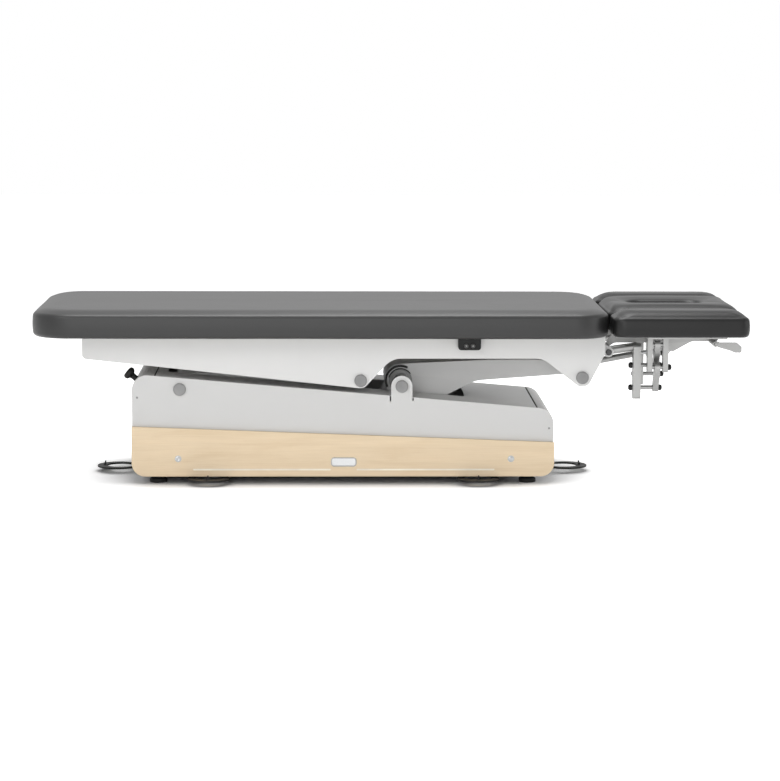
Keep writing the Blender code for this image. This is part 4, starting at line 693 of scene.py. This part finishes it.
# Folded lip along the front edge of the release lever
lip = rounded([(0.9300, 0.3860, 0.004), (0.9850, 0.3700, 0.006), (0.9985, 0.3690, 0.005),
               (0.9990, 0.3860, 0.005), (0.9850, 0.3985, 0.010), (0.9300, 0.3985, 0.004)])
mesh = upright("lip", [lip], -0.1935, -0.1895)
soften(show("lever_lip", mesh, ALU, "release_lever"), 0.0012)

# Black guard and bead and a grey face on each side of the head arm's hub
HUB = (B.x, B.z)
HUB_FORM = [(0.0215, 0.0050), (0.0230, 0.0058), (0.0310, 0.0058), (0.0325, 0.0048), (0.0330, 0.0030),
            (0.0330, 0.0002), (0.0215, 0.0002), (0.0215, 0.0050)]
for side, label in SIDES:
    guard = arc(HUB, 0.0455, 62, 205, 4) + arc(HUB, 0.0392, 205, 62, 4)
    mesh = upright("guard", [guard], side * 0.1002, side * 0.1068)
    soften(show("hub_guard_" + label, mesh, BLACK, "head_arm"), 0.0012)
    bead = arc(HUB, 0.0358, 35, 165, 4) + arc(HUB, 0.0334, 165, 35, 4)
    mesh = upright("guard", [bead], side * 0.1002, side * 0.1050)
    soften(show("hub_bead_" + label, mesh, BLACK, "head_arm"), 0.0008, 2)
    mesh = lathe("cover", HUB_FORM, (B.x, side * 0.1000, B.z), (0, side, 0), 64)
    show("hub_face_" + label, mesh, CAP, "head_arm")

# Black strip along the rear top edge of the head arm: painted shadow standing in for the dark gap under the
# frame's arch
edge_line = []
for u, v in ((0.004, 0.0484), (0.100, 0.0529), (0.250, 0.0598), (0.386, 0.0608)):
    edge_line.append((B.x + u, B.z + v))
line = [(u, v + 0.0020) for u, v in edge_line] + [(u, v - 0.0010) for u, v in edge_line[::-1]]
mesh = upright("strip", [line], 0.070, 0.0995)
soften(show("arm_edge_shadow_strip", mesh, RUBBER, "head_arm"), 0.0006, 2)

# Black end caps on the pins of the arm rest links
PIN_FORM = [(0, 0.0110), (0.0040, 0.0106), (0.0068, 0.0092), (0.0084, 0.0066), (0.0088, 0.0036),
            (0.0084, 0.0008), (0.0076, 0), (0, 0)]
REAR_SHIFT = 0.045
POST_Y, HANGER_Y = 0.160, 0.200


def pin_cap(name, where, way, body):
    show(name, lathe("cap", PIN_FORM, where, way, 40), BLACK, body)


for side, label in SIDES:
    shift = REAR_SHIFT if side > 0 else 0.0
    for z, mark in ((0.266, "lower"), (0.330, "upper")):
        name = mark + "_" + label
        pin_cap("pin_cap_in_" + name, (0.6912 + shift, side * POST_Y, z), (-1, 0, 0), "head_section")
        pin_cap("pin_cap_out_" + name, (0.7664 + shift, side * POST_Y, z), (1, 0, 0), "head_section")
    where = (0.7878 + shift, side * HANGER_Y, 0.329)
    pin_cap("pin_cap_hanger_" + label, where, (1, 0, 0), "arm_rest_" + label)

# Upholstered pads
ARCS = 10
ROLL_LOW, BULGE = 0.012, 0.0012
RECESS_INSET, RECESS_LIP = 0.0357, 0.027
HOLE_RIM, HOLE_DIP = 0.016, 0.003
CROWN_POWER = 2.6


def ring_line(x0, x1, y0, y1, radii, nx, ny):
    """Rounded rectangle with a fixed number of points on each side and corner."""
    points = []
    r0, r1 = radii
    corners = [(x1 - r1, y0 + r1, r1, -90), (x1 - r1, y1 - r1, r1, 0),
               (x0 + r0, y1 - r0, r0, 90), (x0 + r0, y0 + r0, r0, 180)]
    ends = [((x0 + r0, y0), (x1 - r1, y0), nx), ((x1, y0 + r1), (x1, y1 - r1), ny),
            ((x1 - r1, y1), (x0 + r0, y1), nx), ((x0, y1 - r0), (x0, y0 + r0), ny)]
    for (start, stop, count), (cx, cy, radius, turn) in zip(ends, corners):
        for i in range(count):
            t = i / count
            points.append((start[0] + (stop[0] - start[0]) * t, start[1] + (stop[1] - start[1]) * t))
        for i in range(ARCS):
            a = math.radians(turn + 90 * i / ARCS)
            points.append((cx + radius * math.cos(a), cy + radius * math.sin(a)))
    return points


def side_profile(z0, edge, roll):
    """Offsets and heights up the side of a pad, from its underside to the end of its top roll."""
    steps = []
    for a in range(0, 91, 15):
        t = math.radians(a)
        steps.append((ROLL_LOW * (1 - math.sin(t)), z0 + ROLL_LOW * (1 - math.cos(t))))
    low, high = z0 + ROLL_LOW, edge - roll
    for i in range(1, 8):
        t = i / 7
        steps.append((-BULGE * math.sin(math.pi * t), low + (high - low) * t))
    for a in range(10, 71, 10):
        t = math.radians(a)
        steps.append((roll * (1 - math.cos(t)), edge - roll + roll * math.sin(t)))
    return steps


def pad(name, body, node, mat, xs, ys, z0, edge, top, reach, corner, roll, hole=None, recess=0.0, cell=0.009):
    """Pad made of rings: underside, sides with a rolled edge, and a crowned top."""
    x0, x1 = xs
    y0, y1 = ys
    half = min(x1 - x0, y1 - y0) / 2
    nx = max(6, round((x1 - x0 - sum(corner)) / cell))
    ny = max(4, round((y1 - y0 - sum(corner)) / cell))
    rings = []

    def ring(inset, z, crown=False):
        radii = [max(r - inset, 0.004) for r in corner]
        if crown:
            # rounder and rounder towards the middle, so that no ridge runs in from the corners
            t = min(1.0, inset / reach)
            most = max(half - inset, 0.0005)
            radii = [min(r + (reach - r) * t * t * (3 - 2 * t), most) for r in corner]
        line = ring_line(x0 + inset, x1 - inset, y0 + inset, y1 - inset, radii, nx, ny)
        return [Vector((u, v, z)) for u, v in line]

    if recess:
        rings += [ring(RECESS_INSET, z0 + recess), ring(RECESS_INSET, z0), ring(RECESS_LIP, z0)]
    sides = side_profile(z0, edge, roll)
    rings += [ring(o, z) for o, z in sides]
    start, low = sides[-1]

    def crowned(inset):
        t = min(1.0, (inset - start) / (reach - start))
        return low + (top - low) * (1 - (1 - t) ** CROWN_POWER)

    if hole:
        hx0, hx1, hy, hr = hole

        def hole_line(out):
            radii = (hr + out,) * 2
            return ring_line(hx0 - out, hx1 + out, -hy - out, hy + out, radii, nx, ny)

        outer = ring(start, low)
        inner = [Vector((u, v, top - HOLE_DIP)) for u, v in hole_line(HOLE_RIM)]
        span = half - start - hy - HOLE_RIM
        for i in range(1, 15):
            t = i / 15
            z = crowned(start + span * t) - HOLE_DIP * t**3
            rings.append([Vector((*a.lerp(b, t).xy, z)) for a, b in zip(outer, inner)])
        for a in range(0, 91, 15):
            t = math.radians(a)
            z = top - HOLE_DIP - HOLE_RIM * (1 - math.cos(t))
            rings.append([Vector((u, v, z)) for u, v in hole_line(HOLE_RIM - HOLE_RIM * math.sin(t))])
        last = [Vector((v.x, v.y, 0)) for v in rings[-1]]
        high = top - HOLE_DIP - HOLE_RIM
        for i in range(1, 6):
            z = high + (z0 - high) * i / 5
            rings.append([v + Vector((0, 0, z)) for v in last])
    else:
        for i in range(1, 21):
            inset = start + (half - start) * i / 20 * 0.985
            rings.append(ring(inset, crowned(inset), True))
    bm = bmesh.new()
    loops = [[bm.verts.new(p) for p in line] for line in rings]
    count = len(loops[0])
    pairs = list(zip(loops, loops[1:])) + ([(loops[-1], loops[0])] if hole else [])
    for low, high in pairs:
        for i in range(count):
            k = (i + 1) % count
            bm.faces.new((low[i], low[k], high[k], high[i]))
    if not hole:
        for loop in (loops[0], loops[-1]):
            # a ring is closed by strips between its two long sides
            order = loop[-(ARCS // 2):] + loop[:-(ARCS // 2)]
            for i in range(count // 2 - 1):
                face = (order[i], order[i + 1], order[count - 2 - i], order[count - 1 - i])
                face = list(dict.fromkeys(face))
                if len(face) > 2:
                    bm.faces.new(face)
    return show(name, to_mesh(bm, name), mat, body, [node], math.radians(60))


def pucker(ob, edge, corners, depth=0.0004):
    """Slow unevenness of the stuffing, and soft pleats where the cover turns the corners."""
    mesh = ob.data
    normals = [v.normal.copy() for v in mesh.vertices]
    for v, n in zip(mesh.vertices, normals):
        slow = noise.noise(Vector((v.co.x * 7 + 7, v.co.y * 7, v.co.z * 4)))
        fine = noise.noise(Vector((v.co.x * 30, v.co.y * 30, v.co.z * 9)))
        near = math.exp(-((v.co.z - edge) / 0.014) ** 2)
        move = depth * slow + depth * 0.5 * near * fine
        for cx, cy in corners:
            close = math.exp(-(((v.co.x - cx) ** 2 + (v.co.y - cy) ** 2) / 0.05**2))
            turn = math.atan2(v.co.y - cy, v.co.x - cx)
            move += depth * close * math.sin(turn * 18) * math.exp(-((v.co.z - edge) / 0.022) ** 2)
        v.co += n * move
    mesh.update()


SWELL_MOST = 0.0035
SWELL_FRAMES = 20
SWELL_EVEN = 14
HELD = 0.014


def swell(ob, held_below):
    """Cloth simulation: the skin is blown up a little above its held foot, evened out and kept."""
    rest = [v.co.copy() for v in ob.data.vertices]
    group = ob.vertex_groups.new(name="held")
    group.add([v.index for v in ob.data.vertices if v.co.z < held_below], 1.0, "REPLACE")
    cloth = ob.modifiers.new("swell", "CLOTH")
    how = cloth.settings
    how.quality = 4
    how.mass = 0.4
    how.tension_stiffness = 18
    how.compression_stiffness = 18
    how.shear_stiffness = 8
    how.bending_stiffness = 6.0
    how.vertex_group_mass = "held"
    how.use_pressure = True
    how.uniform_pressure_force = 4.0
    how.effector_weights.gravity = 0
    cloth.collision_settings.use_collision = False
    for f in range(1, SWELL_FRAMES + 1):
        SCENE.frame_set(f)
    bpy.context.view_layer.update()
    done = ob.evaluated_get(bpy.context.evaluated_depsgraph_get()).data
    moved = [v.co.copy() for v in done.vertices]
    ob.modifiers.remove(cloth)
    ob.vertex_groups.remove(group)
    SCENE.frame_set(1)
    steps = [b - a for a, b in zip(rest, moved)]
    steps = [d * min(1.0, SWELL_MOST / max(d.length, 1e-9)) for d in steps]
    near = [[] for _ in rest]
    for edge in ob.data.edges:
        a, b = edge.vertices
        near[a].append(b)
        near[b].append(a)
    for _ in range(SWELL_EVEN):
        steps = [(d + sum((steps[k] for k in ks), Vector())) / (1 + len(ks)) for d, ks in zip(steps, near)]
    for v, a, d in zip(ob.data.vertices, rest, steps):
        v.co = a + d
    ob.data.update()


def smooth_pad(ob):
    sub = ob.modifiers.new("smooth", "SUBSURF")
    sub.use_limit_surface = False
    sub.levels = 1
    sub.render_levels = 1


PAD_TOP = 0.5000
MAIN_Z, MAIN_EDGE = 0.4217, 0.4908
HEAD_Z, HEAD_EDGE = 0.4257, 0.4830
HEAD_X = (0.620, 1.0030)
PAD_Y, HEAD_Y, ARM_Y = 0.3285, 0.177, 0.184
main = pad("pad_main", "top", "main_pad", PAD, (-1.0070, 0.6130), (-PAD_Y, PAD_Y), MAIN_Z, MAIN_EDGE, PAD_TOP,
           0.060, (0.112, 0.095), 0.014, recess=0.0123, cell=0.011)
head = pad("pad_head", "head_section", "head_pad", HEAD, HEAD_X, (-HEAD_Y, HEAD_Y), HEAD_Z, HEAD_EDGE, PAD_TOP,
           0.060, (0.044, 0.030), 0.013, hole=(0.695, 0.900, 0.043, 0.0387))
pads = [(main, MAIN_EDGE, [(-0.92, -0.25), (-0.92, 0.25), (0.53, -0.25), (0.53, 0.25)]),
        (head, HEAD_EDGE, [(0.660, -0.135), (0.660, 0.135), (0.962, -0.135), (0.962, 0.135)])]
for side, label in SIDES:
    ys = sorted((side * ARM_Y, side * PAD_Y))
    ob = pad("pad_arm_" + label, "arm_rest_" + label, "arm_pad_" + label, HEAD, HEAD_X, ys, HEAD_Z, HEAD_EDGE,
             PAD_TOP, 0.055, (0.036, 0.026), 0.013)
    pads.append((ob, HEAD_EDGE, [(x, side * y) for x in (0.664, 0.959) for y in (0.228, 0.285)]))
for ob, edge, corners in pads:
    bottom = min(v.co.z for v in ob.data.vertices)
    pucker(ob, edge, corners)
    swell(ob, bottom + HELD)
    smooth_pad(ob)


# Floor, light and camera
def any_ray(tree, *kinds):
    """Light path switch for several kinds of ray."""
    paths = tree.nodes.new("ShaderNodeLightPath").outputs
    seen = paths[kinds[0]]
    for kind in kinds[1:]:
        node = tree.nodes.new("ShaderNodeMath")
        node.operation = "MAXIMUM"
        tree.links.new(seen, node.inputs[0])
        tree.links.new(paths[kind], node.inputs[1])
        seen = node.outputs[0]
    return seen


mesh = bpy.data.meshes.new("floor")
bm = bmesh.new()
bmesh.ops.create_grid(bm, x_segments=2, y_segments=2, size=14)
bm.to_mesh(mesh)
bm.free()
floor = bpy.data.objects.new("floor", mesh)
SCENE.collection.objects.link(floor)
m = Mat("pale_floor")
m.set(color=(0.86, 0.86, 0.86, 1), rough=0.9, spec=0.1)
# The floor glows for camera and glossy rays, and the glow fades where ambient occlusion finds parts close by:
# a painted contact shadow under the base
open_sky = m.add("ShaderNodeAmbientOcclusion", samples=8)
open_sky.inputs["Distance"].default_value = 0.18
glow = m.add("ShaderNodeMath", operation="MULTIPLY")
m.link(any_ray(m.tree, "Is Camera Ray", "Is Glossy Ray"), glow.inputs[0])
m.link(m.span(open_sky.outputs["AO"], 0.0, 0.72, 0.50, 0.96), glow.inputs[1])
m.link(glow.outputs[0], m.bsdf.inputs["Emission Strength"])
m.bsdf.inputs["Emission Color"].default_value = (1, 1, 1, 1)
mesh.materials.append(m.mat)

world = bpy.data.worlds.new("studio")
SCENE.world = world
world.use_nodes = True
tree = world.node_tree
back = tree.nodes["Background"]
back.inputs["Color"].default_value = (1, 1, 1, 1)
level = tree.nodes.new("ShaderNodeMapRange")
level.inputs["To Min"].default_value = 0.30
level.inputs["To Max"].default_value = 1.0
tree.links.new(any_ray(tree, "Is Camera Ray", "Is Glossy Ray", "Is Transmission Ray"), level.inputs["Value"])
tree.links.new(level.outputs["Result"], back.inputs["Strength"])


def lamp(name, where, target, size, power):
    light = bpy.data.lights.new(name, "AREA")
    light.shape = "RECTANGLE"
    light.size, light.size_y = size
    light.energy = power
    ob = bpy.data.objects.new(name, light)
    SCENE.collection.objects.link(ob)
    ob.location = where
    ob.rotation_euler = (Vector(target) - Vector(where)).to_track_quat("-Z", "Y").to_euler()
    return ob


lamp("key", (-2.4, -4.0, 2.6), (0, 0, 0.3), (2.8, 2.2), 60)
lamp("overhead", (-0.2, 0.2, 3.6), (0, 0, 0.4), (3.2, 1.8), 138)
lamp("front", (-0.3, -5.4, 0.9), (0, 0, 0.3), (3.4, 1.2), 46)
lamp("head_end", (3.2, -1.2, 0.9), (0.4, 0, 0.25), (1.2, 0.8), 9)
fill = lamp("cover_fill", (2.6, 0.9, 0.8), (0.35, 0, 0.22), (1.0, 0.6), 26)
# its reflection would turn the head pads white in views from the foot end
fill.visible_glossy = False

PITCH, ROLL, YAW = 90 - 7.43, -0.2, -1.404
camera = bpy.data.cameras.new("camera")
camera.sensor_fit = "HORIZONTAL"
camera.sensor_width = 36
camera.lens = 124.8
camera.clip_end = 60
eye = bpy.data.objects.new("camera", camera)
SCENE.collection.objects.link(eye)
eye.location = (-0.191, -7.806, 1.254)
eye.rotation_euler = (math.radians(PITCH), math.radians(ROLL), math.radians(YAW))
SCENE.camera = eye
SCENE.view_settings.view_transform = "Standard"
